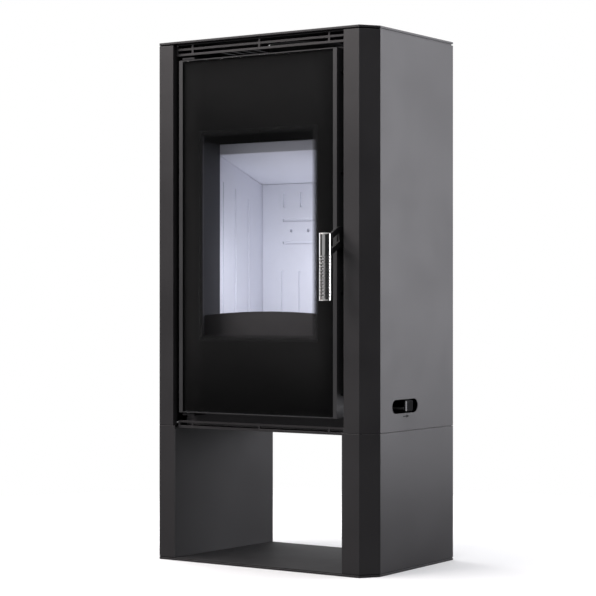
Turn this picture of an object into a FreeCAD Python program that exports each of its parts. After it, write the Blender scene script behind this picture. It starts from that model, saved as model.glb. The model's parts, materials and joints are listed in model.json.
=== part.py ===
import FreeCAD, Part
import math
import os
import re
import Sketcher

# Wood burning stove with an open log store below.  Millimetres, +Z up, front towards -Y.
# The origin is on the floor, under the middle of the casing.

SIZES = {
    # casing
    "overall_width": 545.0,
    "overall_depth": 328.0,
    "overall_height": 1080.0,
    "corner_across": 26.0,
    "corner_back": 37.0,
    "plate_thick": 4.0,
    "casing_sheet": 2.0,
    "top_shadow_gap": 3.0,
    "return_flange": 14.0,
    "rear_flange": 20.0,
    "rail_height": 23.0,
    "shield_sheet": 1.5,
    "fit_gap": 0.3,
    "slot_pitch": 28.0,
    "slot_first": 126.0,
    "slot_radius": 4.0,
    "slot_reach": 48.0,
    "vent_width": 8.0,
    "vent_length": 60.0,
    "vent_rise": 50.0,
    # pedestal
    "seam_height": 281.0,
    "seam_gap": 0.6,
    "floor_sheet": 2.0,
    "floor_inset": 1.2,
    "store_step": 4.4,
    "store_taper": 22.0,
    "store_top_drop": 5.0,
    # grilles
    "grille_setback": 11.6,
    "grille_sheet": 2.0,
    "grille_web": 5.0,
    "grille_web_margin": 37.0,
    "grille_end_web": 4.5,
    "grille_head_gap": 1.0,
    "upper_grille_height": 24.5,
    "lower_grille_height": 15.4,
    "upper_slot_height": 6.0,
    "upper_slot_rise": 5.0,
    "upper_slot_pitch": 11.0,
    "lower_slot_height": 6.0,
    # door
    "door_width": 389.4,
    "door_foot_gap": 28.0,
    "door_head_gap": 40.6,
    "door_side_gap": 15.7,
    "door_depth": 36.0,
    "door_wall": 3.0,
    "trim_face": 8.9,
    "trim_sheet": 2.0,
    "door_lip": 1.5,
    "glass_thick": 4.0,
    "glass_setback": 2.0,
    "glass_inset": 2.2,
    "gasket_thick": 2.0,
    "gasket_width": 9.0,
    "window_side_margin": 37.7,
    "window_foot": 146.0,
    "window_height": 441.0,
    "seal_width": 9.0,
    "seal_inset": 15.7,
    "seal_end_inset": 11.0,
    "channel_setback": 33.0,
    "channel_sheet": 2.0,
    "channel_wall": 1.5,
    "channel_wall_height": 4.0,
    "screw_setback": 18.0,
    "screw_radius": 2.0,
    "screw_head_radius": 3.5,
    "screw_head": 1.6,
    # hinge and latch
    "hinge_inset": 12.7,
    "hinge_room": 0.5,
    "pin_radius": 4.0,
    "running_clearance": 0.05,
    "bracket_thick": 4.0,
    "bracket_gap": 2.0,
    "bush_length": 18.0,
    "bush_reach": 9.0,
    "bracket_reach": 22.0,
    "pin_reach": 15.0,
    "spindle_radius": 5.0,
    "spindle_head": 2.5,
    "shaft_clearance": 0.5,
    "boss_wall": 4.5,
    "bearing_length": 10.5,
    "bearing_reach": 2.5,
    "roller_radius": 4.0,
    "roller_rise": 11.0,
    "roller_setback": 11.0,
    "spindle_setback": 21.0,
    "spindle_height": 353.0,
    "cam_thick": 4.5,
    "cam_gap": 4.0,
    "latch_way_below": 42.0,
    "latch_way_above": 12.0,
    # handle
    "grip_radius": 12.25,
    "grip_bore": 9.0,
    "grip_length": 132.0,
    "grip_standoff": 50.0,
    "grip_drop": 121.4,
    "grip_cap": 2.6,
    "grip_offset": 5.3,
    "arm_thick": 4.6,
    # firebox
    "frame_setback": 44.0,
    "box_wall": 4.0,
    "frame_margin": 2.4,
    "frame_rise": 7.6,
    "opening_head": 25.0,
    "chamber_side_margin": 29.7,
    "lining_thick": 25.0,
    "lining_gap": 0.5,
    "retainer_sheet": 3.0,
    "lining_setback": 105.0,
    "chamber_rear_margin": 68.0,
    "ash_floor_height": 334.0,
    "hearth_height": 424.0,
    "brick_thick": 28.0,
    "grate_thick": 20.0,
    "grate_width": 190.0,
    "grate_depth": 120.0,
    "grate_seat": 10.0,
    "grate_rim": 14.0,
    "grate_slot_width": 8.0,
    "firebox_top_drop": 50.0,
    "throat_height": 849.0,
    "throat_fall": 54.5,
    "throat_run": 155.0,
    "throat_thick": 23.0,
    "deflector_drop": 132.0,
    "deflector_sheet": 3.0,
    "deflector_rear_gap": 55.5,
    "retainer_height": 519.0,
    "retainer_thick": 6.0,
    "retainer_arch": 1610.0,
    # flue
    "flue_bore": 75.5,
    "flue_wall": 3.0,
    "flue_stand": 18.0,
    "flue_flange": 16.0,
    "flue_rear_margin": 140.5,
    "flue_plate_gap": 3.5,
    "flue_seat": 4.0,
    "bolt_radius": 5.0,
    "bolt_head": 4.0,
    # ash drawer
    "drawer_width": 216.0,
    "drawer_height": 80.0,
    "drawer_sheet": 1.5,
    "drawer_setback": 8.0,
    "drawer_rear_gap": 15.0,
    "pull_half_width": 45.0,
    "pull_reach": 7.5,
    "pull_height": 14.0,
    "pull_drop": 20.0,
    "guide_sheet": 3.0,
    "guide_height": 18.0,
    "slide_gap": 0.5,
    # air supply
    "air_slot_front": 82.3,
    "air_slot_length": 99.1,
    "air_slot_height": 27.3,
    "air_slot_centre": 330.0,
    "knob_front": 137.5,
    "knob_length": 26.0,
    "knob_height": 21.0,
    "knob_thick": 6.3,
    "knob_recess": 3.5,
    "knob_wall": 3.0,
    "air_rod_radius": 3.0,
    "air_rod_drop": 10.0,
    "air_rod_room": 5.0,
    "air_travel_forward": 49.0,
    "air_travel_back": 12.0,
    "duct_width": 190.0,
    "duct_sheet": 2.0,
    "duct_foot_gap": 4.0,
    "duct_front_gap": 9.0,
    "port_margin": 35.0,
    "port_width": 8.0,
    "port_pitch": 18.0,
    "valve_margin": 20.0,
    "valve_length": 56.0,
    "plenum_margin": 10.0,
    "plenum_head": 4.0,
    "plenum_rear_gap": 6.0,
    "spigot_reach": 5.5,
    "spigot_length": 29.5,
    "spigot_wall": 2.0,
    "inlet_radius": 40.0,
    "inlet_height": 336.0,
}

# Places and lesser sizes, each worked out from the sizes above.
PLACES = {
    "half_width": "overall_width / 2",
    "front": "0 - overall_depth / 2",
    "rear": "overall_depth / 2",
    "corner_length": "sqrt(corner_across ^ 2 + corner_back ^ 2)",
    "side_turn": "(corner_length - corner_back) / corner_across",
    "front_turn": "(corner_length - corner_across) / corner_back",
    "store_floor": "plate_thick + floor_sheet",
    "store_top": "seam_height - store_top_drop",
    "casing_top": "overall_height - plate_thick - top_shadow_gap",
    "plate_under": "overall_height - plate_thick",
    "sheet_inside": "casing_sheet + fit_gap",
    "grille_face": "front + grille_setback",
    "grille_back": "grille_face + grille_sheet",
    "door_edge": "door_width / 2",
    "strip_edge": "door_edge + door_side_gap",
    "store_half": "strip_edge - store_step",
    "store_rear_half": "store_half - store_taper",
    "web_place": "store_half - grille_web_margin",
    "door_bottom": "seam_height + door_foot_gap",
    "door_top": "overall_height - door_head_gap",
    "door_back": "front + door_depth",
    "tray_edge": "door_edge - trim_sheet",
    "tray_inside": "tray_edge - door_wall",
    "glass_face": "front + glass_setback",
    "glass_back": "glass_face + glass_thick",
    "tray_face": "glass_back + gasket_thick",
    "tray_back": "tray_face + door_wall",
    "window_half": "tray_inside - window_side_margin",
    "window_low": "door_bottom + window_foot",
    "window_high": "window_low + window_height",
    "seal_outside": "door_edge - seal_inset",
    "seal_inside": "seal_outside - seal_width",
    "seal_low": "door_bottom + seal_end_inset",
    "seal_high": "door_top - seal_end_inset",
    "channel_back": "front + channel_setback",
    "hinge_x": "0 - door_edge + hinge_inset",
    "hinge_y": "tray_back + hinge_room + pin_radius",
    "spindle_y": "front + spindle_setback",
    "spindle_z": "door_bottom + spindle_height",
    "cam_left": "seal_outside + cam_gap",
    "cam_right": "cam_left + cam_thick",
    "grip_x": "door_edge + grip_offset",
    "grip_y": "front - grip_standoff",
    "grip_low": "spindle_z - grip_drop",
    "grip_high": "grip_low + grip_length",
    "arm_left": "grip_x - arm_thick / 2",
    "arm_right": "grip_x + arm_thick / 2",
    "frame_face": "front + frame_setback",
    "frame_back": "frame_face + box_wall",
    "frame_edge": "strip_edge - frame_margin",
    "frame_high": "door_top + frame_rise",
    "chamber_half": "door_edge - chamber_side_margin",
    "opening_high": "door_top - opening_head",
    "box_inside": "chamber_half + lining_thick + lining_gap",
    "box_outside": "box_inside + box_wall",
    "chamber_rear": "rear - chamber_rear_margin",
    "box_back_inside": "chamber_rear + lining_thick + lining_gap",
    "box_back_outside": "box_back_inside + box_wall",
    "box_foot": "store_top + plate_thick",
    "box_top": "overall_height - firebox_top_drop",
    "lining_front": "front + lining_setback",
    "lining_rear": "box_back_inside - lining_gap / 2",
    "lining_outside": "box_inside - lining_gap / 2",
    "hearth_top": "hearth_height + box_wall",
    "grate_top": "hearth_top + brick_thick",
    "grate_half": "grate_width / 2",
    "grate_rear": "lining_front + grate_depth",
    "throat_slope": "throat_fall / throat_run",
    "throat_rear_height": "throat_height - throat_slope * (lining_rear - lining_front)",
    "deflector_height": "overall_height - deflector_drop",
    "flue_y": "rear - flue_rear_margin",
    "flue_outside": "flue_bore + flue_wall",
    "flue_bolt_circle": "flue_outside + flue_flange / 2",
    "drawer_half": "drawer_width / 2",
    "drawer_front": "frame_back + drawer_setback",
    "drawer_back": "box_back_inside - drawer_rear_gap",
    "drawer_low": "ash_floor_height + slide_gap",
    "drawer_high": "drawer_low + drawer_height",
    "air_slot_radius": "air_slot_height / 2",
    "air_slot_low_y": "front + air_slot_front + air_slot_radius",
    "air_slot_high_y": "front + air_slot_front + air_slot_length - air_slot_radius",
    "knob_y": "front + knob_front",
    "knob_root": "half_width - knob_thick",
    "air_rod_y": "knob_y + knob_length / 2",
    "air_rod_z": "ash_floor_height - air_rod_drop",
    "valve_low": "air_rod_z + air_rod_radius",
    "valve_high": "ash_floor_height - box_wall - fit_gap",
    "duct_half": "duct_width / 2",
    "duct_low": "box_foot + duct_foot_gap",
    "duct_high": "ash_floor_height - box_wall",
    "plenum_half": "inlet_radius + plenum_margin",
    "plenum_high": "inlet_height + inlet_radius + plenum_head",
    "plenum_back": "rear - plenum_rear_gap",
    "shield_face": "rear - casing_sheet",
}

CLEAR = 1.0  # how far a cutting tool runs past each face that it cuts

doc = FreeCAD.newDocument("WoodStove")


def fill_sheet():
    """Write each driving size into the sheet, with its name as the alias."""
    sheet = doc.addObject("Spreadsheet::Sheet", "Sizes")
    for row, (name, size) in enumerate(SIZES.items(), start=1):
        sheet.set(f"A{row}", name.replace("_", " "))
        sheet.set(f"B{row}", str(size))
        sheet.setAlias(f"B{row}", name)
    doc.recompute()


def spell_out(text):
    """Open up every place name in a formula until only the sheet's sizes are left."""
    def swap(match):
        word = match.group(0)
        if word in PLACES:
            return "(" + spell_out(PLACES[word]) + ")"
        if word in SIZES:
            return "Sizes." + word
        return word
    return re.sub(r"[a-z_]+", swap, text)


def bind(thing, prop, text):
    """Tie one property of an object to the sheet."""
    thing.setExpression(prop, spell_out(text))


def place_at(thing, x, y, z):
    bind(thing, "Placement.Base.x", x)
    bind(thing, "Placement.Base.y", y)
    bind(thing, "Placement.Base.z", z)


def box(label, x, y, z):
    """A block between a low and a high formula along each axis."""
    block = doc.addObject("Part::Box", label)
    for prop, (low, high) in zip(("Length", "Width", "Height"), (x, y, z)):
        bind(block, prop, f"({high}) - ({low})")
    place_at(block, x[0], y[0], z[0])
    return block


def past(low, high):
    """The span of a cutting tool that goes right through from low to high."""
    return f"{low} - {CLEAR}", f"{high} + {CLEAR}"


def both_ways(half):
    """A span that is even about the middle of the casing."""
    return f"0 - ({half})", half


TURNS = {
    "x": FreeCAD.Rotation(FreeCAD.Vector(0, 1, 0), 90),
    "y": FreeCAD.Rotation(FreeCAD.Vector(1, 0, 0), -90),
    "z": FreeCAD.Rotation(),
}


def rod(label, along, start, radius, length):
    """A round bar that starts at a point and runs along one axis."""
    bar = doc.addObject("Part::Cylinder", label)
    bar.Placement = FreeCAD.Placement(FreeCAD.Vector(), TURNS[along])
    bind(bar, "Radius", radius)
    bind(bar, "Height", length)
    place_at(bar, *start)
    return bar


def join(label, *pieces):
    fused = doc.addObject("Part::MultiFuse", label)
    fused.Shapes = list(pieces)
    fused.Refine = True
    return fused


def cut(label, base, *tools):
    result = doc.addObject("Part::Cut", label)
    result.Base = base
    result.Tool = tools[0] if len(tools) == 1 else join(label + "_tools", *tools)
    return result


def group(label, *pieces):
    """Like pieces that share one node, each still a solid of its own."""
    result = doc.addObject("Part::Compound", label)
    result.Links = list(pieces)
    return result


def tube(label, along, start, outer, inner, length):
    return cut(label, rod(label + "_outside", along, start, outer, length),
               rod(label + "_bore", along, start, inner, length))


def drill(label, along, start, radius, low, high):
    """A round cutting tool along one axis, right through from low to high."""
    low, high = past(low, high)
    place = {axis: at for axis, at in zip("xyz", start)}
    place[along] = low
    return rod(label, along, (place["x"], place["y"], place["z"]), radius, f"({high}) - ({low})")


def ring(label, outer_x, inner_x, y, outer_z, inner_z):
    """A flat rectangular frame, seen from the front, even about the middle."""
    outside = box(label + "_outside", both_ways(outer_x), y, outer_z)
    inside = box(label + "_inside", both_ways(inner_x), past(*y), inner_z)
    return cut(label, outside, inside)


PLANES = {
    # plane: (origin feature, sign of the plane's normal along the third axis)
    "xy": ("XY_Plane", 1),
    "xz": ("XZ_Plane", -1),
    "yz": ("YZ_Plane", 1),
}


def plate(label, plane, outline, low, high):
    """A body padded from one closed outline, between two places on the third axis."""
    role, sign = PLANES[plane]
    body = doc.addObject("PartDesign::Body", label)
    sketch = body.newObject("Sketcher::SketchObject", label + "_outline")
    origin_plane = next(f for f in body.Origin.OriginFeatures if f.Role == role)
    sketch.AttachmentSupport = (origin_plane, [""])
    sketch.MapMode = "FlatFace"
    bind(sketch, "AttachmentOffset.Base.z", low if sign > 0 else f"0 - ({high})")
    count = len(outline)
    rough = [FreeCAD.Vector(100 * math.cos(2 * math.pi * i / count + 0.3),
                            100 * math.sin(2 * math.pi * i / count + 0.3), 0) for i in range(count)]
    for start, end in zip(rough, rough[1:] + rough[:1]):
        sketch.addGeometry(Part.LineSegment(start, end))
    for edge in range(count):
        sketch.addConstraint(Sketcher.Constraint("Coincident", edge, 2, (edge + 1) % count, 1))
    for edge, (across, along) in enumerate(outline):
        corner = rough[edge]
        for kind, text, guess in (("DistanceX", across, corner.x), ("DistanceY", along, corner.y)):
            index = sketch.addConstraint(Sketcher.Constraint(kind, -1, 1, edge, 1, guess))
            bind(sketch, f"Constraints[{index}]", text)
    pad = body.newObject("PartDesign::Pad", label + "_pad")
    pad.Profile = sketch
    bind(pad, "Length", f"({high}) - ({low})")
    return body


def mirrored(outline, side):
    return [(across if side > 0 else f"0 - ({across})", along) for across, along in outline]


def side_name(side):
    return "right" if side > 0 else "left"


def casing_plan(inset):
    """The casing's plan with its two front corners cut off, drawn in by an inset."""
    edge = f"half_width - {inset}"
    half = [
        (edge, f"rear - {inset}"),
        (edge, f"front + corner_back + {inset} * side_turn"),
        (f"half_width - corner_across - {inset} * front_turn", f"front + {inset}"),
    ]
    return half + mirrored(half, -1)[::-1]


def bent_panel_plan(inner_edge, flange, rear_edge):
    """One bent sheet in plan: front strip, cut corner, side and rear flange."""
    sheet = "casing_sheet"
    outside = [
        (inner_edge, "front"),
        ("half_width - corner_across", "front"),
        ("half_width", "front + corner_back"),
        ("half_width", "rear"),
        (rear_edge, "rear"),
    ]
    inside = [
        (rear_edge, f"rear - {sheet}"),
        (f"half_width - {sheet}", f"rear - {sheet}"),
        (f"half_width - {sheet}", f"front + corner_back + {sheet} * side_turn"),
        (f"half_width - corner_across - {sheet} * front_turn", f"front + {sheet}"),
    ]
    if flange:
        inside += [
            (f"{inner_edge} + {sheet}", f"front + {sheet}"),
            (f"{inner_edge} + {sheet}", "front + return_flange"),
            (inner_edge, "front + return_flange"),
        ]
    else:
        inside += [(inner_edge, f"front + {sheet}")]
    return outside + inside


# ---------------------------------------------------------------- pedestal

def make_pedestal():
    yield plate("base_plate", "xy", casing_plan("0"), "0", "plate_thick")
    yield plate("pedestal_floor", "xy", casing_plan("floor_inset"), "plate_thick", "store_floor")
    plan = bent_panel_plan("store_half", False, "store_rear_half")
    liner = [
        ("store_half", "front + casing_sheet"),
        ("store_half + casing_sheet", "front + casing_sheet"),
        ("store_rear_half + casing_sheet", "rear - casing_sheet"),
        ("store_rear_half", "rear - casing_sheet"),
    ]
    for side in (-1, 1):
        yield plate("pedestal_panel_" + side_name(side), "xy", mirrored(plan, side),
                    "store_floor", "seam_height - seam_gap")
        yield plate("pedestal_liner_" + side_name(side), "xy", mirrored(liner, side),
                    "store_floor", "store_top")
    yield make_pedestal_top()


def make_pedestal_top():
    """The plate that the firebox stands on, set back behind the lower grille."""
    edge = "half_width - sheet_inside"
    nose = "grille_back"
    lead = f"(corner_back + sheet_inside * side_turn - ({nose} - front)) / corner_back"
    half = [
        (edge, "rear - sheet_inside"),
        (edge, "front + corner_back + sheet_inside * side_turn"),
        (f"{edge} - corner_across * {lead}", nose),
    ]
    return plate("pedestal_top_plate", "xy", half + mirrored(half, -1)[::-1],
                 "store_top", "box_foot")


# ---------------------------------------------------------------- casing

def stadium(label, along, ends_y, centre, radius, low, high):
    """A round-ended cutting tool that reaches along Y and goes through along X or Z."""
    low, high = past(low, high)
    width = (f"{centre} - {radius}", f"{centre} + {radius}")
    if along == "x":
        middle = box(label + "_middle", (low, high), ends_y, width)
        starts = [(low, y, centre) for y in ends_y]
    else:
        middle = box(label + "_middle", width, ends_y, (low, high))
        starts = [(centre, y, low) for y in ends_y]
    rounds = [rod(f"{label}_end_{i}", along, start, radius, f"({high}) - ({low})")
              for i, start in enumerate(starts)]
    return join(label, middle, *rounds)


def make_casing():
    plan = bent_panel_plan("strip_edge", True, "half_width - rear_flange")
    yield plate("casing_panel_left", "xy", mirrored(plan, -1), "seam_height", "casing_top")
    blank = plate("casing_blank_right", "xy", plan, "seam_height", "casing_top")
    slot = stadium("air_slot", "x", ("air_slot_low_y", "air_slot_high_y"), "air_slot_centre",
                   "air_slot_radius", "half_width - casing_sheet", "half_width")
    yield cut("casing_panel_right", blank, slot)
    yield make_top_rails()
    yield make_top_plate()
    yield make_rear_shield()


def make_top_rails():
    """Three upright strips inside the casing that carry the top plate."""
    outer = "half_width - sheet_inside"
    back = ("shield_face - shield_sheet - casing_sheet", "shield_face - shield_sheet")
    z = ("plate_under - rail_height", "plate_under")
    y = ("front + corner_back + casing_sheet", f"{back[0]} - fit_gap")
    left = box("rail_left", (f"0 - ({outer})", f"0 - ({outer}) + casing_sheet"), y, z)
    right = box("rail_right", (f"{outer} - casing_sheet", outer), y, z)
    return group("top_rails", left, right, box("rail_rear", both_ways(outer), back, z))


TOP_SLOTS = 4  # air slots each side of the flue


def make_top_plate():
    blank = plate("top_plate_blank", "xy", casing_plan("0"), "plate_under", "overall_height")
    depth = ("plate_under", "overall_height")
    tools = [drill("top_plate_flue_hole", "z", ("0", "flue_y", "0"),
                   "flue_outside + flue_plate_gap", *depth)]
    ends = ("flue_y - slot_reach", "flue_y + slot_reach")
    for side in (-1, 1):
        for index in range(TOP_SLOTS):
            x = f"{side} * (slot_first + {index} * slot_pitch)"
            name = f"top_slot_{side_name(side)}_{index}"
            tools.append(stadium(name, "z", ends, x, "slot_radius", *depth))
    return cut("top_plate", blank, *tools)


SHIELD_VENTS = 9  # vents in each of the shield's two rows


def make_rear_shield():
    """The sheet across the back, with a row of vents low down and another near the top."""
    y = ("shield_face - shield_sheet", "shield_face")
    blank = box("rear_shield_blank", both_ways("half_width - sheet_inside"), y,
                ("seam_height + fit_gap", "casing_top - fit_gap"))
    tools = [drill("rear_shield_inlet_hole", "y", ("0", "0", "inlet_height"), "inlet_radius + fit_gap", *y)]
    rows = (("low", "inlet_height + inlet_radius + vent_rise"),
            ("high", "casing_top - vent_rise - vent_length"))
    for index in range(SHIELD_VENTS):
        centre = f"({index - SHIELD_VENTS // 2}) * overall_width / ({SHIELD_VENTS} + 1)"
        x = (f"{centre} - vent_width / 2", f"{centre} + vent_width / 2")
        for name, foot in rows:
            tools.append(box(f"shield_vent_{name}_{index}", x, past(*y), (foot, f"{foot} + vent_length")))
    return cut("rear_shield", blank, *tools)


# ---------------------------------------------------------------- grilles

def grille(label, edge, foot, height, slot_rows):
    """A flat grille with its slots between three upright webs, one row for each foot height."""
    web = "grille_web / 2"
    last = f"{edge} - grille_end_web"
    spans = [
        (f"0 - ({last})", f"0 - web_place - {web}"),
        (f"0 - web_place + {web}", f"0 - {web}"),
        (web, f"web_place - {web}"),
        (f"web_place + {web}", last),
    ]
    y = ("grille_face", "grille_back")
    blank = box(label + "_blank", both_ways(edge), y, (foot, f"{foot} + {height}"))
    slots = [box(f"{label}_slot_{r}_{s}", span, past(*y), row)
             for r, row in enumerate(slot_rows) for s, span in enumerate(spans)]
    return cut(label, blank, *slots)


def make_grilles():
    foot = "plate_under - grille_head_gap - upper_grille_height"
    lower_row = (f"{foot} + upper_slot_rise", f"{foot} + upper_slot_rise + upper_slot_height")
    upper_row = tuple(f"{z} + upper_slot_pitch" for z in lower_row)
    yield grille("upper_grille", "strip_edge", foot, "upper_grille_height", [lower_row, upper_row])
    yield grille("lower_grille", "store_half - fit_gap", "store_top", "lower_grille_height",
                 [("seam_height", "seam_height + lower_slot_height")])


# ---------------------------------------------------------------- firebox

def make_firebox():
    y = ("frame_face", "frame_back")
    frame = ring("front_frame_blank", "frame_edge", "chamber_half", y,
                 ("seam_height", "frame_high"), ("ash_floor_height", "opening_high"))
    yield cut("front_frame", frame, latch_way("frame_latch_way", *y))
    depth = ("frame_back", "box_back_outside")
    height = ("box_foot", "box_top")
    yield box("firebox_side_left", ("0 - box_outside", "0 - box_inside"), depth, height)
    wall = box("firebox_side_blank", ("box_inside", "box_outside"), depth, height)
    yield cut("firebox_side_right", wall, air_rod_slot("side_rod_slot", "box_inside", "box_outside"))
    back_y = ("box_back_inside", "box_back_outside")
    back = box("firebox_back_blank", both_ways("box_inside"), back_y, height)
    duct_way = box("firebox_back_duct_way", both_ways("duct_half"), past(*back_y),
                   (f"box_foot - {CLEAR}", "duct_high"))
    yield cut("firebox_back", back, duct_way)
    floor_z = ("ash_floor_height - box_wall", "ash_floor_height")
    floor = box("firebox_floor_blank", both_ways("box_inside"), ("frame_back", "box_back_inside"), floor_z)
    yield cut("firebox_floor", floor, *air_ports("floor_port", *floor_z))
    top_z = ("box_top", "box_top + box_wall")
    top = box("firebox_top_blank", both_ways("box_outside"), depth, top_z)
    yield cut("firebox_top", top, drill("firebox_flue_hole", "z", ("0", "flue_y", "0"),
                                        "flue_bore - flue_seat", *top_z))


def air_rod_slot(label, low, high):
    """The slot that the air rod slides along, in a wall that faces sideways."""
    return box(label, past(low, high),
               ("air_rod_y - air_travel_forward - air_rod_room", "air_rod_y + air_travel_back + air_rod_room"),
               ("air_rod_z - air_rod_radius - slide_gap", "ash_floor_height - box_wall"))


def latch_way(label, low, high):
    """Room for the latch cam to pass a sheet as it turns and as the door swings."""
    return box(label, ("seal_outside + channel_wall", "cam_right + cam_gap"), past(low, high),
               ("spindle_z - latch_way_below", "spindle_z + latch_way_above"))


AIR_PORTS = 3  # slots in the firebox floor, opened and closed by the valve plate


def air_ports(label, low, high):
    ports = []
    for index in range(AIR_PORTS):
        y = f"air_rod_y + air_rod_radius + {index} * port_pitch"
        ports.append(box(f"{label}_{index}", both_ways("duct_half - port_margin"),
                         (y, f"{y} + port_width"), past(low, high)))
    return ports


DIAGONAL = math.sqrt(0.5)


def make_flue():
    foot = "box_top + box_wall"
    top = "overall_height + flue_stand"
    centre = ("0", "flue_y", foot)
    flange = rod("flue_flange_disc", "z", centre, "flue_outside + flue_flange", "box_wall")
    pipe = rod("flue_pipe", "z", centre, "flue_outside", f"{top} - ({foot})")
    yield cut("flue_collar", join("flue_blank", flange, pipe),
              drill("flue_bore_tool", "z", centre, "flue_bore", foot, top))
    heads = []
    for index, (x, y) in enumerate(((1, 1), (-1, 1), (-1, -1), (1, -1))):
        across = f"({x * DIAGONAL:.4f}) * flue_bolt_circle"
        back = f"flue_y + ({y * DIAGONAL:.4f}) * flue_bolt_circle"
        start = (across, back, f"{foot} + box_wall")
        heads.append(rod(f"flue_bolt_{index}", "z", start, "bolt_radius", "bolt_head"))
    yield group("flue_collar_bolts", *heads)


def make_linings():
    """The pale boards round the fire, the sloping throat plate over it and the steel one above."""
    yield group("lining_retainers", lining_retainer(-1), lining_retainer(1))
    side = [
        ("lining_front", "hearth_top"),
        ("lining_rear", "hearth_top"),
        ("lining_rear", "throat_rear_height"),
        ("lining_front", "throat_height"),
    ]
    yield plate("lining_left", "yz", side, "0 - (lining_outside)", "0 - chamber_half")
    yield plate("lining_right", "yz", side, "chamber_half", "lining_outside")
    back = [
        ("chamber_rear", "hearth_top"),
        ("lining_rear", "hearth_top"),
        ("lining_rear", "throat_rear_height"),
        ("chamber_rear", "throat_height - throat_slope * (chamber_rear - lining_front)"),
    ]
    yield plate("lining_back", "yz", back, *both_ways("chamber_half"))
    throat = [
        ("lining_front", "throat_height"),
        ("lining_rear", "throat_rear_height"),
        ("lining_rear", "throat_rear_height + throat_thick"),
        ("lining_front", "throat_height + throat_thick"),
    ]
    yield plate("throat_plate", "yz", throat, *both_ways("lining_outside"))
    yield box("smoke_deflector", both_ways("box_inside"),
              ("frame_back", "box_back_inside - deflector_rear_gap"),
              ("deflector_height", "deflector_height + deflector_sheet"))


def lining_retainer(side):
    """A bent steel angle between the front frame and the lining's front edge."""
    plan = [
        ("chamber_half", "frame_back"),
        ("chamber_half + retainer_sheet", "frame_back"),
        ("chamber_half + retainer_sheet", "lining_front - retainer_sheet"),
        ("box_inside", "lining_front - retainer_sheet"),
        ("box_inside", "lining_front"),
        ("chamber_half", "lining_front"),
    ]
    return plate("lining_retainer_" + side_name(side), "xy", mirrored(plan, side),
                 "hearth_top", "throat_height + throat_thick")


GRATE_SLOTS = 9  # slots through the fire grate


def make_hearth():
    z = ("hearth_height", "hearth_top")
    blank = box("hearth_blank", both_ways("box_inside"), ("frame_back", "box_back_inside"), z)
    ash_hole = box("hearth_ash_hole", both_ways("grate_half - grate_seat"),
                   ("lining_front + grate_seat", "grate_rear - grate_seat"), past(*z))
    yield cut("hearth_plate", blank, ash_hole)
    z = ("hearth_top", "grate_top")
    outer = "chamber_half - fit_gap"
    front = "frame_back + retainer_thick"
    rear = "chamber_rear - fit_gap"
    inner = "grate_half + fit_gap"
    left = box("brick_left", (f"0 - ({outer})", f"0 - ({inner})"), (front, rear), z)
    right = box("brick_right", (inner, outer), (front, rear), z)
    fore = box("brick_front", both_ways("grate_half"), (front, "lining_front - fit_gap"), z)
    aft = box("brick_rear", both_ways("grate_half"), ("grate_rear + fit_gap", rear), z)
    yield group("hearth_bricks", left, right, fore, aft)
    yield make_grate()
    yield make_log_retainer()


def make_grate():
    """A cast grate that sits over the hole in the hearth plate."""
    z = ("hearth_top", "hearth_top + grate_thick")
    blank = box("grate_blank", both_ways("grate_half"), ("lining_front", "grate_rear"), z)
    slots = []
    for index in range(GRATE_SLOTS):
        centre = f"({index - GRATE_SLOTS // 2}) * (grate_width - 2 * grate_rim) / {GRATE_SLOTS}"
        slots.append(box(f"grate_slot_{index}",
                         (f"{centre} - grate_slot_width / 2", f"{centre} + grate_slot_width / 2"),
                         ("lining_front + grate_rim", "grate_rear - grate_rim"), past(*z)))
    return cut("fire_grate", blank, *slots)


def make_log_retainer():
    """A cast bar across the chamber's mouth, with a low arch along its top."""
    y = ("frame_back", "frame_back + retainer_thick")
    bar = box("log_retainer_bar", both_ways("chamber_half - lining_gap"), y,
              ("hearth_top", "retainer_height"))
    disc = drill("log_retainer_arch", "y", ("0", "0", "retainer_height - retainer_arch"),
                 "retainer_arch", *y)
    arched = doc.addObject("Part::MultiCommon", "log_retainer")
    arched.Shapes = [bar, disc]
    return arched


# ---------------------------------------------------------------- ash drawer

def make_ash_drawer():
    y = ("drawer_front", "drawer_back")
    z = ("drawer_low", "drawer_high")
    blank = box("drawer_blank", both_ways("drawer_half"), y, z)
    hollow = box("drawer_hollow", both_ways("drawer_half - drawer_sheet"),
                 ("drawer_front + drawer_sheet", "drawer_back - drawer_sheet"),
                 ("drawer_low + drawer_sheet", f"drawer_high + {CLEAR}"))
    tray = cut("drawer_tray", blank, hollow)
    pull_x = both_ways("pull_half_width")
    pull_top = "drawer_high - pull_drop"
    lip = box("drawer_pull_lip", pull_x, ("drawer_front - pull_reach", "drawer_front"),
              (f"{pull_top} - drawer_sheet", pull_top))
    rim_face = "drawer_front - pull_reach"
    rim = box("drawer_pull_rim", pull_x, (rim_face, f"{rim_face} + drawer_sheet"),
              (f"{pull_top} - pull_height", pull_top))
    yield join("ash_drawer", tray, lip, rim)
    near = "drawer_half + slide_gap"
    far = f"{near} + guide_sheet"
    z = ("ash_floor_height", "ash_floor_height + guide_height")
    yield group("drawer_guides", box("guide_left", (f"0 - ({far})", f"0 - ({near})"), y, z),
                box("guide_right", (near, far), y, z))


# ---------------------------------------------------------------- air supply

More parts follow.
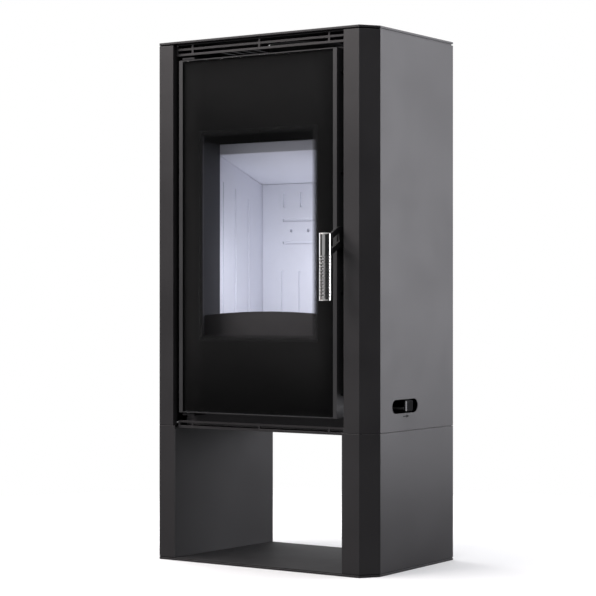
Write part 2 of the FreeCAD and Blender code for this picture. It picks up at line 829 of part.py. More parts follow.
def make_air_supply():
    yield make_air_box()
    yield tube("air_spigot", "y", ("0", "plenum_back + spigot_reach - spigot_length", "inlet_height"),
               "inlet_radius", "inlet_radius - spigot_wall", "spigot_length")
    blank = box("valve_blank", both_ways("duct_half - valve_margin"),
                ("air_rod_y - air_rod_radius", "air_rod_y - air_rod_radius + valve_length"),
                ("valve_low", "valve_high"))
    yield cut("air_valve_plate", blank, *air_ports("valve_port", "valve_low", "valve_high"))
    rod_start = "duct_half - port_margin - valve_margin"
    yield rod("air_rod", "x", (rod_start, "air_rod_y", "air_rod_z"), "air_rod_radius",
              f"knob_root - ({rod_start})")
    z = ("air_slot_centre - knob_height / 2", "air_slot_centre + knob_height / 2")
    knob = box("air_knob_blank", ("knob_root", "half_width"), ("knob_y", "knob_y + knob_length"), z)
    hollow = box("air_knob_hollow", ("half_width - knob_recess", f"half_width + {CLEAR}"),
                 ("knob_y + knob_wall", "knob_y + knob_length - knob_wall"),
                 (f"{z[0]} + knob_wall", f"{z[1]} - knob_wall"))
    yield cut("air_knob", knob, hollow)


def make_air_box():
    """The welded duct under the firebox floor and the plenum behind it."""
    front = "lining_front - duct_front_gap"
    plenum_front = "box_back_outside + fit_gap"
    duct = box("duct_outside", both_ways("duct_half"), (front, "plenum_back"), ("duct_low", "duct_high"))
    plenum = box("plenum_outside", both_ways("plenum_half"), (plenum_front, "plenum_back"),
                 ("duct_low", "plenum_high"))
    back = "plenum_back - duct_sheet"
    floor = "duct_low + duct_sheet"
    hollow = box("duct_hollow", both_ways("duct_half - duct_sheet"),
                 (f"{front} + duct_sheet", "box_back_inside"), (floor, f"duct_high + {CLEAR}"))
    hollow_rear = box("duct_hollow_rear", both_ways("duct_half - duct_sheet"),
                      (f"box_back_inside - {CLEAR}", back), (floor, "duct_high - duct_sheet"))
    plenum_hollow = box("plenum_hollow", both_ways("plenum_half - duct_sheet"),
                        (f"{plenum_front} + duct_sheet", back), (floor, "plenum_high - duct_sheet"))
    inlet = drill("plenum_inlet_hole", "y", ("0", "0", "inlet_height"), "inlet_radius", back, "plenum_back")
    rod_way = air_rod_slot("duct_rod_slot", "duct_half - duct_sheet", "duct_half")
    return cut("air_box", join("air_box_blank", duct, plenum), hollow, hollow_rear,
               plenum_hollow, inlet, rod_way)


# ---------------------------------------------------------------- door

SCREW_HEIGHTS = (47, 248, 484.5, 683.5)  # above the door's bottom edge


def door_screw_spots(side):
    for index, height in enumerate(SCREW_HEIGHTS):
        yield f"{side_name(side)}_{index}", ("0", "front + screw_setback", f"door_bottom + {height}")


def screw_span(side):
    """A trim screw's shank, from inside the tray's wall to the trim's face."""
    span = ("tray_inside - door_wall", "door_edge")
    return span if side > 0 else (f"0 - {span[1]}", f"0 - ({span[0]})")


def screw_holes(label, side):
    return [drill(f"{label}_{name}", "x", spot, "screw_radius", *screw_span(side))
            for name, spot in door_screw_spots(side)]


def make_door_screws():
    screws = []
    for side in (-1, 1):
        low, high = screw_span(side)
        head_start = high if side > 0 else f"{low} - screw_head"
        for name, (_, y, z) in door_screw_spots(side):
            shank = rod(f"door_screw_{name}_shank", "x", (low, y, z), "screw_radius",
                        f"{high} - ({low})")
            head = rod(f"door_screw_{name}_head", "x", (head_start, y, z), "screw_head_radius",
                       "screw_head")
            screws.append(join(f"door_screw_{name}", shank, head))
    return group("door_screws", *screws)


def make_door():
    yield make_door_frame()
    yield make_door_trim(-1)
    yield make_door_trim(1)
    yield box("door_glass", both_ways("tray_edge - glass_inset"), ("glass_face", "glass_back"),
              ("door_bottom + glass_inset", "door_top - glass_inset"))
    yield ring("glass_gasket", "window_half + gasket_width", "window_half", ("glass_back", "tray_face"),
               ("window_low - gasket_width", "window_high + gasket_width"), ("window_low", "window_high"))
    yield make_seal_channel()
    yield ring("door_rope_seal", "seal_outside", "seal_inside",
               ("channel_back", "frame_face - fit_gap"), ("seal_low", "seal_high"),
               ("seal_low + seal_width", "seal_high - seal_width"))
    yield make_hinge_bushes()
    yield make_latch_bearing()
    yield make_door_screws()


def make_latch_bearing():
    """The block inside the door that the handle's spindle turns in."""
    x = ("seal_outside + bearing_reach - bearing_length", "seal_outside + bearing_reach")
    reach = "spindle_radius + boss_wall"
    block = box("latch_bearing_blank", x, ("tray_back", f"spindle_y + {reach}"),
                (f"spindle_z - ({reach})", f"spindle_z + {reach}"))
    bore = drill("latch_bearing_bore", "x", ("0", "spindle_y", "spindle_z"),
                 "spindle_radius + running_clearance", *x)
    return cut("latch_bearing", block, bore)


def make_door_frame():
    """A shallow tray that holds the glass in front and the rope seal behind."""
    outside = box("tray_outside", both_ways("tray_edge"), ("tray_face", "door_back"),
                  ("door_bottom", "door_top"))
    hollow = box("tray_hollow", both_ways("tray_inside"), ("tray_back", f"door_back + {CLEAR}"),
                 ("door_bottom + door_wall", "door_top - door_wall"))
    window = box("tray_window", both_ways("window_half"), past("tray_face", "tray_back"),
                 ("window_low", "window_high"))
    lip_x = both_ways("door_edge - trim_face - fit_gap")
    lip_y = ("front + fit_gap", "tray_face")
    lower_lip = box("tray_lower_lip", lip_x, lip_y, ("door_bottom", "door_bottom + door_lip"))
    upper_lip = box("tray_upper_lip", lip_x, lip_y, ("door_top - door_lip", "door_top"))
    pin_room = "pin_radius + shaft_clearance"
    holes = [
        spindle_hole("tray_spindle_hole", "tray_inside", "tray_edge"),
        pin_hole("tray_pin_hole_low", pin_room, "door_bottom", "door_bottom + door_wall"),
        pin_hole("tray_pin_hole_high", pin_room, "door_top - door_wall", "door_top"),
    ]
    for side in (-1, 1):
        holes += screw_holes("tray_screw", side)
    return cut("door_frame", join("door_frame_blank", outside, lower_lip, upper_lip), hollow, window, *holes)


def pin_hole(label, radius, low, high):
    return drill(label, "z", ("hinge_x", "hinge_y", "0"), radius, low, high)


def spindle_hole(label, low, high):
    """The loose hole that the spindle passes through in the door's side."""
    return drill(label, "x", ("0", "spindle_y", "spindle_z"), "spindle_radius + shaft_clearance", low, high)


def make_door_trim(side):
    """A steel edge strip that wraps the door's side and holds the glass's edge."""
    lip_back = "glass_face - fit_gap"
    plan = [
        ("door_edge - trim_face", "front"),
        ("door_edge", "front"),
        ("door_edge", "door_back"),
        ("tray_edge", "door_back"),
        ("tray_edge", lip_back),
        ("door_edge - trim_face", lip_back),
    ]
    name = "door_trim_" + side_name(side)
    blank = plate(name + "_blank", "xy", mirrored(plan, side), "door_bottom", "door_top")
    tools = screw_holes(name + "_hole", side)
    if side > 0:
        tools.append(spindle_hole(name + "_spindle_hole", "tray_edge", "door_edge"))
    return cut(name, blank, *tools)


def make_seal_channel():
    """The flat ring behind the door with two low walls, between which the rope seal lies."""
    inside = "seal_inside - fit_gap"
    outside = "seal_outside + fit_gap"
    low = "seal_low - fit_gap"
    high = "seal_high + fit_gap"
    inner_low = "seal_low + seal_width + fit_gap"
    inner_high = "seal_high - seal_width - fit_gap"
    far_inner = (f"{inner_low} + channel_wall", f"{inner_high} - channel_wall")
    far_outer = (f"{low} - channel_wall", f"{high} + channel_wall")
    base_y = ("channel_back - channel_sheet", "channel_back")
    wall_y = ("channel_back", "channel_back + channel_wall_height")
    base = ring("channel_base", "tray_inside", f"{inside} - channel_wall", base_y,
                ("door_bottom + door_wall", "door_top - door_wall"), far_inner)
    inner = ring("channel_inner_wall", inside, f"{inside} - channel_wall", wall_y,
                 (inner_low, inner_high), far_inner)
    outer = ring("channel_outer_wall", f"{outside} + channel_wall", outside, wall_y, far_outer, (low, high))
    way = latch_way("channel_latch_way", base_y[0], wall_y[1])
    return cut("seal_channel", join("seal_channel_blank", base, inner, outer), way)


def make_hinge_bushes():
    """Two steel blocks inside the door's left corners that turn on the hinge pins."""
    spans = {
        "low": ("door_bottom + door_wall", "door_bottom + door_wall + bush_length"),
        "high": ("door_top - door_wall - bush_length", "door_top - door_wall"),
    }
    bushes = []
    for name, z in spans.items():
        block = box(f"hinge_bush_{name}_blank", ("0 - tray_inside", "hinge_x + bush_reach"),
                    ("tray_back", "hinge_y + bush_reach"), z)
        bore = pin_hole(f"hinge_bush_{name}_bore", "pin_radius + running_clearance", *z)
        bushes.append(cut(f"hinge_bush_{name}", block, bore))
    return group("hinge_bushes", *bushes)


# ---------------------------------------------------------------- hinge and latch on the frame

def make_hinge_brackets():
    feet = {"low": "door_bottom - bracket_gap - bracket_thick", "high": "door_top + bracket_gap"}
    brackets = []
    for name, foot in feet.items():
        z = (foot, f"{foot} + bracket_thick")
        blank = box(f"hinge_bracket_{name}_blank", ("hinge_x - bush_reach", "hinge_x + bracket_reach"),
                    ("hinge_y - bush_reach", "frame_face"), z)
        brackets.append(cut(f"hinge_bracket_{name}", blank,
                            pin_hole(f"hinge_bracket_{name}_hole", "pin_radius", *z)))
    yield group("hinge_brackets", *brackets)
    length = "bracket_thick + bracket_gap + door_wall + pin_reach"
    low = rod("hinge_pin_low", "z", ("hinge_x", "hinge_y", feet["low"]), "pin_radius", length)
    high = rod("hinge_pin_high", "z", ("hinge_x", "hinge_y", "door_top - door_wall - pin_reach"),
               "pin_radius", length)
    yield group("hinge_pins", low, high)


def make_latch_keeper():
    """A roller above the latch cam's nose, on an ear fixed to the firebox side."""
    ear_face = "box_inside - trim_sheet"
    roller_z = "spindle_z + roller_rise"
    ear = box("keeper_ear", (ear_face, "box_inside"), ("frame_back", "frame_back + 2 * roller_setback"),
              (f"{roller_z} - roller_radius", f"{roller_z} + roller_rise"))
    roller = rod("keeper_roller", "x", ("cam_left - fit_gap", "frame_back + roller_setback", roller_z),
                 "roller_radius", f"{ear_face} - (cam_left - fit_gap)")
    return join("latch_keeper", ear, roller)


# ---------------------------------------------------------------- handle

def make_handle():
    low = "grip_low + grip_cap"
    high = "grip_high - grip_cap"
    length = f"{high} - ({low})"
    yield tube("handle_grip", "z", ("grip_x", "grip_y", low), "grip_radius", "grip_bore", length)
    yield rod("grip_core", "z", ("grip_x", "grip_y", low), "grip_bore", length)
    caps = [rod("grip_cap_" + name, "z", ("grip_x", "grip_y", foot), "grip_radius", "grip_cap")
            for name, foot in (("low", "grip_low"), ("high", high))]
    yield group("grip_caps", *caps)
    yield make_handle_arm()
    start = "seal_outside + bearing_reach - bearing_length - spindle_head"
    shaft = rod("spindle_shaft", "x", (start, "spindle_y", "spindle_z"), "spindle_radius",
                f"arm_right - ({start})")
    head = rod("spindle_head_disc", "x", ("arm_right", "spindle_y", "spindle_z"),
               "spindle_radius + spindle_head", "spindle_head")
    yield join("handle_spindle", shaft, head)
    yield make_latch_cam()


# Corners of the handle's forked arm: back from the casing's front, and up from the spindle.
ARM_OUTLINE = ((-45, 2.8), (-6.4, 23.6), (2, 25), (28, 25), (28, -10), (20, -18), (0, -18),
               (0, -16.2), (-45, -40))
ARM_GAP = ((-46, -10), (-3, 12.4), (-1, -4.2), (-46, -27.5))
# Corners of the latch cam's hook: back from the frame's rear face, and up from the spindle.
CAM_NOSE = ((8, -9), (14, -5), (14, 6), (9, 6), (6, -1))


def make_handle_arm():
    """A forked plate: two sloping bars from the grip to the plate on the spindle."""
    def around(corners):
        return [(f"front + {back}", f"spindle_z + {up}") for back, up in corners]
    x = ("arm_left", "arm_right")
    blank = plate("arm_blank", "yz", around(ARM_OUTLINE), *x)
    gap = plate("arm_gap", "yz", around(ARM_GAP), *past(*x))
    grip_room = drill("arm_grip_room", "z", ("grip_x", "grip_y", "0"), "grip_radius",
                      "grip_low", "spindle_z + grip_length")
    hole = drill("arm_spindle_hole", "x", ("0", "spindle_y", "spindle_z"), "spindle_radius", *x)
    return cut("handle_arm", blank, gap, grip_room, hole)


def make_latch_cam():
    """The hook on the spindle that points back through the front frame."""
    nose = [(f"frame_back + {back}", f"spindle_z + {up}") for back, up in CAM_NOSE]
    outline = [("spindle_y", "spindle_z - 7")] + nose + [("spindle_y", "spindle_z + 7")]
    hook = plate("cam_hook", "yz", outline, "cam_left", "cam_right")
    boss = rod("cam_boss", "x", ("cam_left", "spindle_y", "spindle_z"), "spindle_radius + boss_wall",
               "cam_thick")
    hole = drill("cam_hole", "x", ("0", "spindle_y", "spindle_z"), "spindle_radius", "cam_left", "cam_right")
    return cut("latch_cam", join("cam_blank", hook, boss), hole)


# ---------------------------------------------------------------- build, check and export

def build_nodes():
    yield from make_pedestal()
    yield from make_casing()
    yield from make_grilles()
    yield from make_firebox()
    yield from make_flue()
    yield from make_linings()
    yield from make_hearth()
    yield from make_ash_drawer()
    yield from make_air_supply()
    yield from make_hinge_brackets()
    yield make_latch_keeper()
    yield from make_door()
    yield from make_handle()


def check(nodes):
    """Stop before anything is written if an object or a node's shape is bad."""
    for thing in doc.Objects:
        if "Invalid" in thing.State or "Error" in thing.State:
            raise RuntimeError(f"{thing.Label} could not be worked out: {thing.State}")
    for node in nodes:
        shape = node.Shape
        if shape.isNull() or not shape.isValid() or not shape.Solids:
            raise RuntimeError(f"{node.Label} has no valid solid")


def export(nodes):
    os.makedirs("parts", exist_ok=True)
    for node in nodes:
        node.Shape.exportStep(os.path.join("parts", node.Label + ".step"))


fill_sheet()
NODES = list(build_nodes())
doc.recompute()
check(NODES)
export(NODES)
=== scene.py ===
import json
import math

import bmesh
import bpy
from bpy.props import FloatProperty, FloatVectorProperty, PointerProperty
from mathutils import Matrix, Vector

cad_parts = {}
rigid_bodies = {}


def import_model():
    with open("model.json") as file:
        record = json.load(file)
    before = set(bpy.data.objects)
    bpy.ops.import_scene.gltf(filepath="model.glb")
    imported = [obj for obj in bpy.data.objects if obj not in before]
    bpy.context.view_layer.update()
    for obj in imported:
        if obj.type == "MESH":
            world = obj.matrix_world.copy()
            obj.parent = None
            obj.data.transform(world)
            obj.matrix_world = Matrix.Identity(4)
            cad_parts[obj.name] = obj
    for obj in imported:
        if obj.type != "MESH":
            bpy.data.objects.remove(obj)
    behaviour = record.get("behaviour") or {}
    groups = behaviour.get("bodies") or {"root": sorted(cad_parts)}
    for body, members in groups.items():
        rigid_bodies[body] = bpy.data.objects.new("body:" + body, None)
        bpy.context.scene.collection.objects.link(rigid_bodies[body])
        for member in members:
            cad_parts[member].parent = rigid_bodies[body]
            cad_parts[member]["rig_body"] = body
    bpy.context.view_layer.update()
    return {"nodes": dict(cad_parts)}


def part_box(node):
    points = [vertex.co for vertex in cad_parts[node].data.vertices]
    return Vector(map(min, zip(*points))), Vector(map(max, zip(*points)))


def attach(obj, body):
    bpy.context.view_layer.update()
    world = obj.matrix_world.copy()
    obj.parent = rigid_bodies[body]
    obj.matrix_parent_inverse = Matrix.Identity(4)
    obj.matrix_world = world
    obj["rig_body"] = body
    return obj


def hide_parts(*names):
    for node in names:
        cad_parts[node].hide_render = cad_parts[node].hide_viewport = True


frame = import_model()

bl_info = {
    "name": "Pedestal stove looks",
    "version": (1, 0, 0),
    "blender": (4, 5, 0),
    "location": "3D View > Sidebar > Stove",
    "description": "Builds the visible finish of a steel wood stove around its packed parts",
    "category": "Object",
}

NODES = frame["nodes"]
CLOSE = 1e-6  # points nearer than this are one point
SHARP = 35.0  # edges that turn by more degrees than this stay sharp
UP = Vector((0.0, 0.0, 1.0))

# Tones mixed from the casing's colour: darker and lighter copies of its paint that are painted shade and
# painted light.
# The log store's darker copy: painted shade in the recess.
STORE_SHADE_TONE = 0.4
# The front frame's lighter copy: painted light in the dark gap round the door.
FRAME_LIGHT_TONE = 2.6

# The arrow under the air slide: how far below the knob, how far its tip is behind the knob's front edge,
# the half thickness of its shaft, the length of its head and of the whole arrow, and its head's slope.
ARROW_DROP = 0.0095
ARROW_TIP = 0.009
ARROW_SHAFT = 0.0009
ARROW_HEAD = 0.010
ARROW_LENGTH = 0.023
ARROW_SLOPE = 0.32

# Pressings of the side boards: the place of each groove from front to back, and its top.
SIDE_GROOVES = ((-0.048, 0.792), (-0.003, 0.779), (0.045, 0.761))
# Pressings of the back board, as distances from the middle and as heights.
SHORT_GROOVES = (0.018, 0.062, 0.106)
SHORT_FOOT, SHORT_TOP = 0.743, 0.774
CROSS_GROOVES = (0.666, 0.715)
CROSS_HALF = 0.110
LONG_GROOVES = (0.022, 0.066, 0.111)
LONG_TOP = 0.605
AIR_HOLES = (-0.088, -0.044, 0.0, 0.044, 0.088)
AIR_HOLE_LEVEL = 0.692

# The log retainer's crease: how far below its top, and how much the part above leans back.
CREASE_DROP = 0.028
CREASE_LEAN = 0.09

SLEEVE_COLUMNS = 16  # columns of the sleeve's punched pattern, an even number so that it closes
PUNCHED_TO = 0.68  # share of the sleeve's height that is punched

# The air knob: how far its face lies inside its box, the number of ribs on it, their height, how deep their
# feet are sunk, the gap above and below them, the width of the pale strip whose colour is a painted
# highlight, and the rounding.
KNOB_FACE = 0.0016
KNOB_RIBS = 6
RIB_HEIGHT = 0.0012
RIB_FOOT = 0.0004
RIB_GAP = 0.0015
KNOB_LINE = 0.0012
KNOB_EDGE = 0.0003
SCREW_HEAD = 0.0022  # height of the door screws' heads

# The directions in which the surround is dark, as the door's glass and the side mirror it.
DARK_RIGHT = (0.966, -0.259, 0.0)
DARK_LEFT = (-0.848, -0.530, 0.0)


# ---- settings


def length(name, description, default):
    return FloatProperty(
        name=name, description=description, default=default, min=0.0, precision=5, unit="LENGTH"
    )


def colour(name, description, default):
    return FloatVectorProperty(
        name=name, description=description, default=default, min=0.0, max=1.0, size=3, subtype="COLOR"
    )


class StoveSizes(bpy.types.PropertyGroup):
    """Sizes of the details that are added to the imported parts."""

    sheet_edge: length("Sheet edge", "Rounding on the edges of bent and cut sheet", 0.0005)
    casting_edge: length("Casting edge", "Rounding on cast and machined edges", 0.0012)
    board_edge: length("Board edge", "Rounding on the pressed lining boards", 0.002)
    board_seam: length("Board seam", "Gap that shows between neighbouring lining boards", 0.0009)
    groove_width: length("Groove width", "Width of the grooves pressed into the lining boards", 0.006)
    groove_depth: length("Groove depth", "Depth of the grooves pressed into the lining boards", 0.003)
    air_hole: length("Air hole", "Diameter of the secondary air holes in the back board", 0.006)
    window_half: length("Window half width", "Half of the clear part of the glass", 0.140)
    window_foot: length("Window foot", "Height of the clear part's lower edge", 0.466)
    window_head: length("Window head", "Height of the clear part's upper edge", 0.8845)
    print_fade: length("Print fade", "Width of the dotted edge where the black print thins out", 0.018)
    sleeve_wall: length("Sleeve wall", "Thickness of the perforated sleeve on the handle", 0.0011)
    sleeve_hole: length("Sleeve hole", "Diameter of the holes in the sleeve", 0.0031)
    sleeve_dimple: length("Sleeve dimple", "How far the rim of each hole is pressed in", 0.0004)
    sleeve_row: length("Sleeve row", "Height of one row of holes in the sleeve", 0.0033)
    rope_strand: length("Rope strand", "Length of one stitch of the knitted seals", 0.004)


class StoveColours(bpy.types.PropertyGroup):
    """Colours of the finishes."""

    casing: colour("Casing", "Satin heat-proof paint on the outer sheets", (0.042, 0.040, 0.042))
    firebox: colour("Firebox", "Matt heat-proof paint on the inner box", (0.021, 0.021, 0.023))
    door: colour("Door", "Satin paint on the door frame and its side trims", (0.050, 0.050, 0.052))
    handle: colour("Handle", "Matt paint on the handle arm", (0.014, 0.014, 0.015))
    glass_print: colour("Glass print", "Fired black print on the glass", (0.019, 0.019, 0.019))
    lining: colour("Lining", "Pressed mineral board", (0.72, 0.73, 0.80))
    iron: colour("Cast iron", "Grate and castings", (0.037, 0.034, 0.035))
    brick: colour("Hearth bricks", "Fired hearth bricks", (0.60, 0.58, 0.56))
    rope: colour("Rope", "Knitted glass-fibre seals", (0.070, 0.070, 0.072))
    bright: colour("Bright steel", "Plain machined steel", (0.42, 0.42, 0.43))
    zinc: colour("Zinc", "Galvanised sheet of the ash drawer", (0.46, 0.47, 0.49))
    chrome: colour("Chrome", "Polished sleeve of the handle", (0.82, 0.81, 0.79))
    fixings: colour("Fixings", "Black oxide on screws and pins", (0.090, 0.090, 0.092))
    floor: colour("Floor", "Studio floor", (0.95, 0.95, 0.95))


def sizes():
    return bpy.context.scene.stove_sizes


def colours():
    return bpy.context.scene.stove_colours


# ---- shader nodes


def feed(tree, node, sockets):
    """Sets or links the inputs of a node, by name or by place."""
    for name, value in sockets.items():
        if isinstance(value, bpy.types.NodeSocket):
            tree.links.new(value, node.inputs[name])
        else:
            node.inputs[name].default_value = value


def put(tree, kind, sockets=None, **settings):
    """Adds one node, sets its options and feeds it."""
    made = tree.nodes.new(kind)
    for name, value in settings.items():
        setattr(made, name, value)
    feed(tree, made, sockets or {})
    return made


def maths(tree, operation, first, second=0.0, clamp=False):
    return put(tree, "ShaderNodeMath", {0: first, 1: second}, operation=operation, use_clamp=clamp).outputs[0]


def minus(tree, first, second):
    return maths(tree, "SUBTRACT", first, second)


def times(tree, first, second, clamp=False):
    return maths(tree, "MULTIPLY", first, second, clamp)


def spread(tree, value, low, high, to_low=0.0, to_high=1.0):
    """Carries a value from one range to another, held at its ends."""
    sockets = {"Value": value, "From Min": low, "From Max": high, "To Min": to_low, "To Max": to_high}
    return put(tree, "ShaderNodeMapRange", sockets, clamp=True).outputs["Result"]


def mix_colours(tree, factor, first, second):
    return put(tree, "ShaderNodeMix", {0: factor, 6: first, 7: second}, data_type="RGBA").outputs[2]


def noise(tree, where, scale, detail):
    """The value of a noise texture."""
    return put(tree, "ShaderNodeTexNoise", {"Vector": where, "Scale": scale, "Detail": detail}).outputs[0]


def cells(tree, where, scale):
    """The outputs of a cell texture."""
    return put(tree, "ShaderNodeTexVoronoi", {"Vector": where, "Scale": scale}).outputs


def alike(tree, first, second):
    """How far two directions agree: 1 where they are the same."""
    return put(tree, "ShaderNodeVectorMath", {0: first, 1: second}, operation="DOT_PRODUCT").outputs["Value"]


def new_group(name, inputs, outputs):
    """A shader node group with these sockets, as {name: default}, and its two end nodes."""
    group = bpy.data.node_groups.new(name, "ShaderNodeTree")
    for label, default in inputs.items():
        kind = "NodeSocketVector" if default is None else "NodeSocketFloat"
        socket = group.interface.new_socket(label, in_out="INPUT", socket_type=kind)
        if default is not None:
            socket.default_value = default
    for label in outputs:
        group.interface.new_socket(label, in_out="OUTPUT", socket_type="NodeSocketFloat")
    return group, group.nodes.new("NodeGroupInput").outputs, group.nodes.new("NodeGroupOutput")


def powder_texture():
    """The fine orange peel of sprayed paint, with slow changes of tone and gloss."""
    group, given, result = new_group(
        "Powder texture", {"Vector": None, "Grain": 900.0, "Cloud": 9.0}, ("Height", "Change")
    )
    peel = noise(group, given["Vector"], given["Grain"], 3.0)
    pips = cells(group, given["Vector"], given["Grain"])["Distance"]
    cloud = noise(group, given["Vector"], given["Cloud"], 4.0)
    feed(group, result, {
        "Height": maths(group, "ADD", peel, times(group, pips, 0.4)),
        "Change": spread(group, cloud, 0.3, 0.7),
    })
    return group


def edge_wear():
    """Where an outer edge is rubbed: the bevelled normal turns away from the face's own there."""
    group, given, result = new_group(
        "Edge wear", {"Vector": None, "Radius": 0.0008, "Amount": 1.0}, ("Mask",)
    )
    rounded = put(group, "ShaderNodeBevel", {"Radius": given["Radius"]}, samples=4).outputs[0]
    flat = put(group, "ShaderNodeNewGeometry").outputs["Normal"]
    turned = spread(group, alike(group, rounded, flat), 0.99, 0.80)
    patchy = noise(group, given["Vector"], 70.0, 5.0)
    rubbed = times(group, turned, spread(group, patchy, 0.35, 0.65))
    feed(group, result, {"Mask": times(group, rubbed, given["Amount"], clamp=True)})
    return group


def settled_dust():
    """A thin film of dust on faces that look up."""
    group, given, result = new_group(
        "Settled dust", {"Vector": None, "Amount": 0.3, "Scale": 45.0}, ("Mask",)
    )
    facing = put(group, "ShaderNodeNewGeometry").outputs["Normal"]
    up = put(group, "ShaderNodeSeparateXYZ", {0: facing}).outputs["Z"]
    motes = noise(group, given["Vector"], given["Scale"], 8.0)
    laid = times(group, spread(group, up, 0.6, 0.95), spread(group, motes, 0.35, 0.75))
    feed(group, result, {"Mask": times(group, laid, given["Amount"], clamp=True)})
    return group


def brushed_lines():
    """Fine drawn or ground lines that run along one axis, set by the stretched vector."""
    group, given, result = new_group("Brushed lines", {"Vector": None, "Scale": 600.0}, ("Height", "Tone"))
    fine = noise(group, given["Vector"], given["Scale"], 3.0)
    broad = noise(group, given["Vector"], 40.0, 2.0)
    tone = maths(group, "ADD", times(group, fine, 0.6), times(group, broad, 0.4))
    feed(group, result, {"Height": fine, "Tone": tone})
    return group


def board_flecks():
    """Pressed mineral board: a chalky surface with flecks and pin holes."""
    group, given, result = new_group(
        "Board flecks", {"Vector": None, "Scale": 260.0}, ("Height", "Fleck", "Stain")
    )
    chalk = noise(group, given["Vector"], given["Scale"], 6.0)
    pores = cells(group, given["Vector"], given["Scale"])
    stain = noise(group, given["Vector"], 7.0, 5.0)
    pin = spread(group, pores["Distance"], 0.05, 0.22)
    feed(group, result, {
        "Height": times(group, chalk, pin),
        "Fleck": spread(group, pores["Color"], 0.78, 0.95),
        "Stain": spread(group, stain, 0.35, 0.75),
    })
    return group


def casting_skin():
    """The sand-cast skin of iron."""
    group, given, result = new_group("Casting skin", {"Vector": None, "Scale": 420.0}, ("Height", "Tone"))
    grit = noise(group, given["Vector"], given["Scale"], 8.0)
    lumps = cells(group, given["Vector"], given["Scale"])["Distance"]
    slow = noise(group, given["Vector"], 24.0, 4.0)
    feed(group, result, {
        "Height": maths(group, "ADD", grit, times(group, lumps, 0.6)),
        "Tone": spread(group, slow, 0.3, 0.7),
    })
    return group


def knitted():
    """Knitted rope: two slanting sets of strands that cross."""
    group, given, result = new_group("Knitted", {"Vector": None, "Scale": 250.0}, ("Height", "Tone"))
    slant = 0.785
    sets = []
    for turn in (slant, -slant):
        sockets = {"Vector": given["Vector"], "Angle": turn}
        turned = put(group, "ShaderNodeVectorRotate", sockets, rotation_type="Y_AXIS").outputs[0]
        sockets = {"Vector": turned, "Scale": given["Scale"], "Distortion": 0.6, "Detail": 1.0}
        sets.append(put(group, "ShaderNodeTexWave", sockets, bands_direction="X").outputs["Fac"])
    hairs = noise(group, given["Vector"], 1800.0, 2.0)
    height = maths(group, "ADD", maths(group, "MAXIMUM", *sets), times(group, hairs, 0.3))
    feed(group, result, {"Height": height, "Tone": times(group, *sets)})
    return group


EFFECTS = {}


def effect(tree, build, where, **values):
    """Places one of the shared groups in a material, with its own values."""
    if build.__name__ not in EFFECTS:
        EFFECTS[build.__name__] = build()
    sockets = {"Vector": where, **{name.replace("_", " "): value for name, value in values.items()}}
    return put(tree, "ShaderNodeGroup", sockets, node_tree=EFFECTS[build.__name__]).outputs


# ---- finishes


def shade(rgb, factor=1.0):
    return (*(min(1.0, part * factor) for part in rgb), 1.0)


def tones(tree, factor, rgb, first, second):
    """A mix of two tones of one colour."""
    return mix_colours(tree, factor, shade(rgb, first), shade(rgb, second))


def new_finish(name):
    """A material with a plain Principled surface: the tree, its surface node and the Object coordinates."""
    made = bpy.data.materials.new(name)
    made.use_nodes = True
    tree = made.node_tree
    tree.nodes.clear()
    surface = put(tree, "ShaderNodeBsdfPrincipled")
    output = put(tree, "ShaderNodeOutputMaterial")
    tree.links.new(surface.outputs[0], output.inputs[0])
    return made, tree, surface, put(tree, "ShaderNodeTexCoord").outputs["Object"]


def relief(tree, surface, height, distance, strength=1.0):
    bump = put(tree, "ShaderNodeBump", {"Height": height, "Distance": distance, "Strength": strength})
    tree.links.new(bump.outputs[0], surface.inputs["Normal"])


def output_mix(tree, factor, first, second):
    """Sends a mix of two shaders to the material's output."""
    both = put(tree, "ShaderNodeMixShader", {0: factor, 1: first, 2: second})
    output = next(node for node in tree.nodes if node.type == "OUTPUT_MATERIAL")
    tree.links.new(both.outputs[0], output.inputs[0])


def slide_arrow(tree, where):
    """A plain printed arrow under the air slide, as a mask over the side panel."""
    place = put(tree, "ShaderNodeSeparateXYZ", {0: where}).outputs
    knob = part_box("air_knob")[0]
    off = maths(tree, "ABSOLUTE", minus(tree, place["Z"], knob.z - ARROW_DROP))
    behind = minus(tree, knob.y + ARROW_TIP, place["Y"])
    started = maths(tree, "GREATER_THAN", behind, 0.0)
    widths = ((times(tree, behind, ARROW_SLOPE), ARROW_HEAD), (ARROW_SHAFT, ARROW_LENGTH))
    parts = []
    for width, reach in widths:
        along = times(tree, started, maths(tree, "LESS_THAN", behind, reach))
        parts.append(times(tree, maths(tree, "LESS_THAN", off, width), along))
    return maths(tree, "MAXIMUM", *parts)


def painted(name, rgb, roughness, dust=0.14, wear=0.5, mark=None):
    """Sprayed heat-proof paint on sheet steel."""
    made, tree, surface, where = new_finish(name)
    coat = effect(tree, powder_texture, where)
    worn = effect(tree, edge_wear, where, Amount=wear)["Mask"]
    film = effect(tree, settled_dust, where, Amount=dust)["Mask"]
    tone = tones(tree, coat["Change"], rgb, 0.92, 1.08)
    tone = mix_colours(tree, worn, tone, shade(rgb, 2.2))
    tone = mix_colours(tree, film, tone, (0.16, 0.16, 0.16, 1.0))
    gloss = spread(tree, coat["Change"], 0.0, 1.0, roughness - 0.03, roughness + 0.03)
    gloss = maths(tree, "ADD", gloss, times(tree, film, 0.2))
    if mark:
        printed = mark(tree, where)
        tone = mix_colours(tree, printed, tone, (0.002, 0.002, 0.002, 1.0))
        gloss = maths(tree, "MAXIMUM", gloss, printed)
    feed(tree, surface, {"Base Color": tone, "Roughness": gloss})
    relief(tree, surface, coat["Height"], 0.00005, 0.5)
    return made


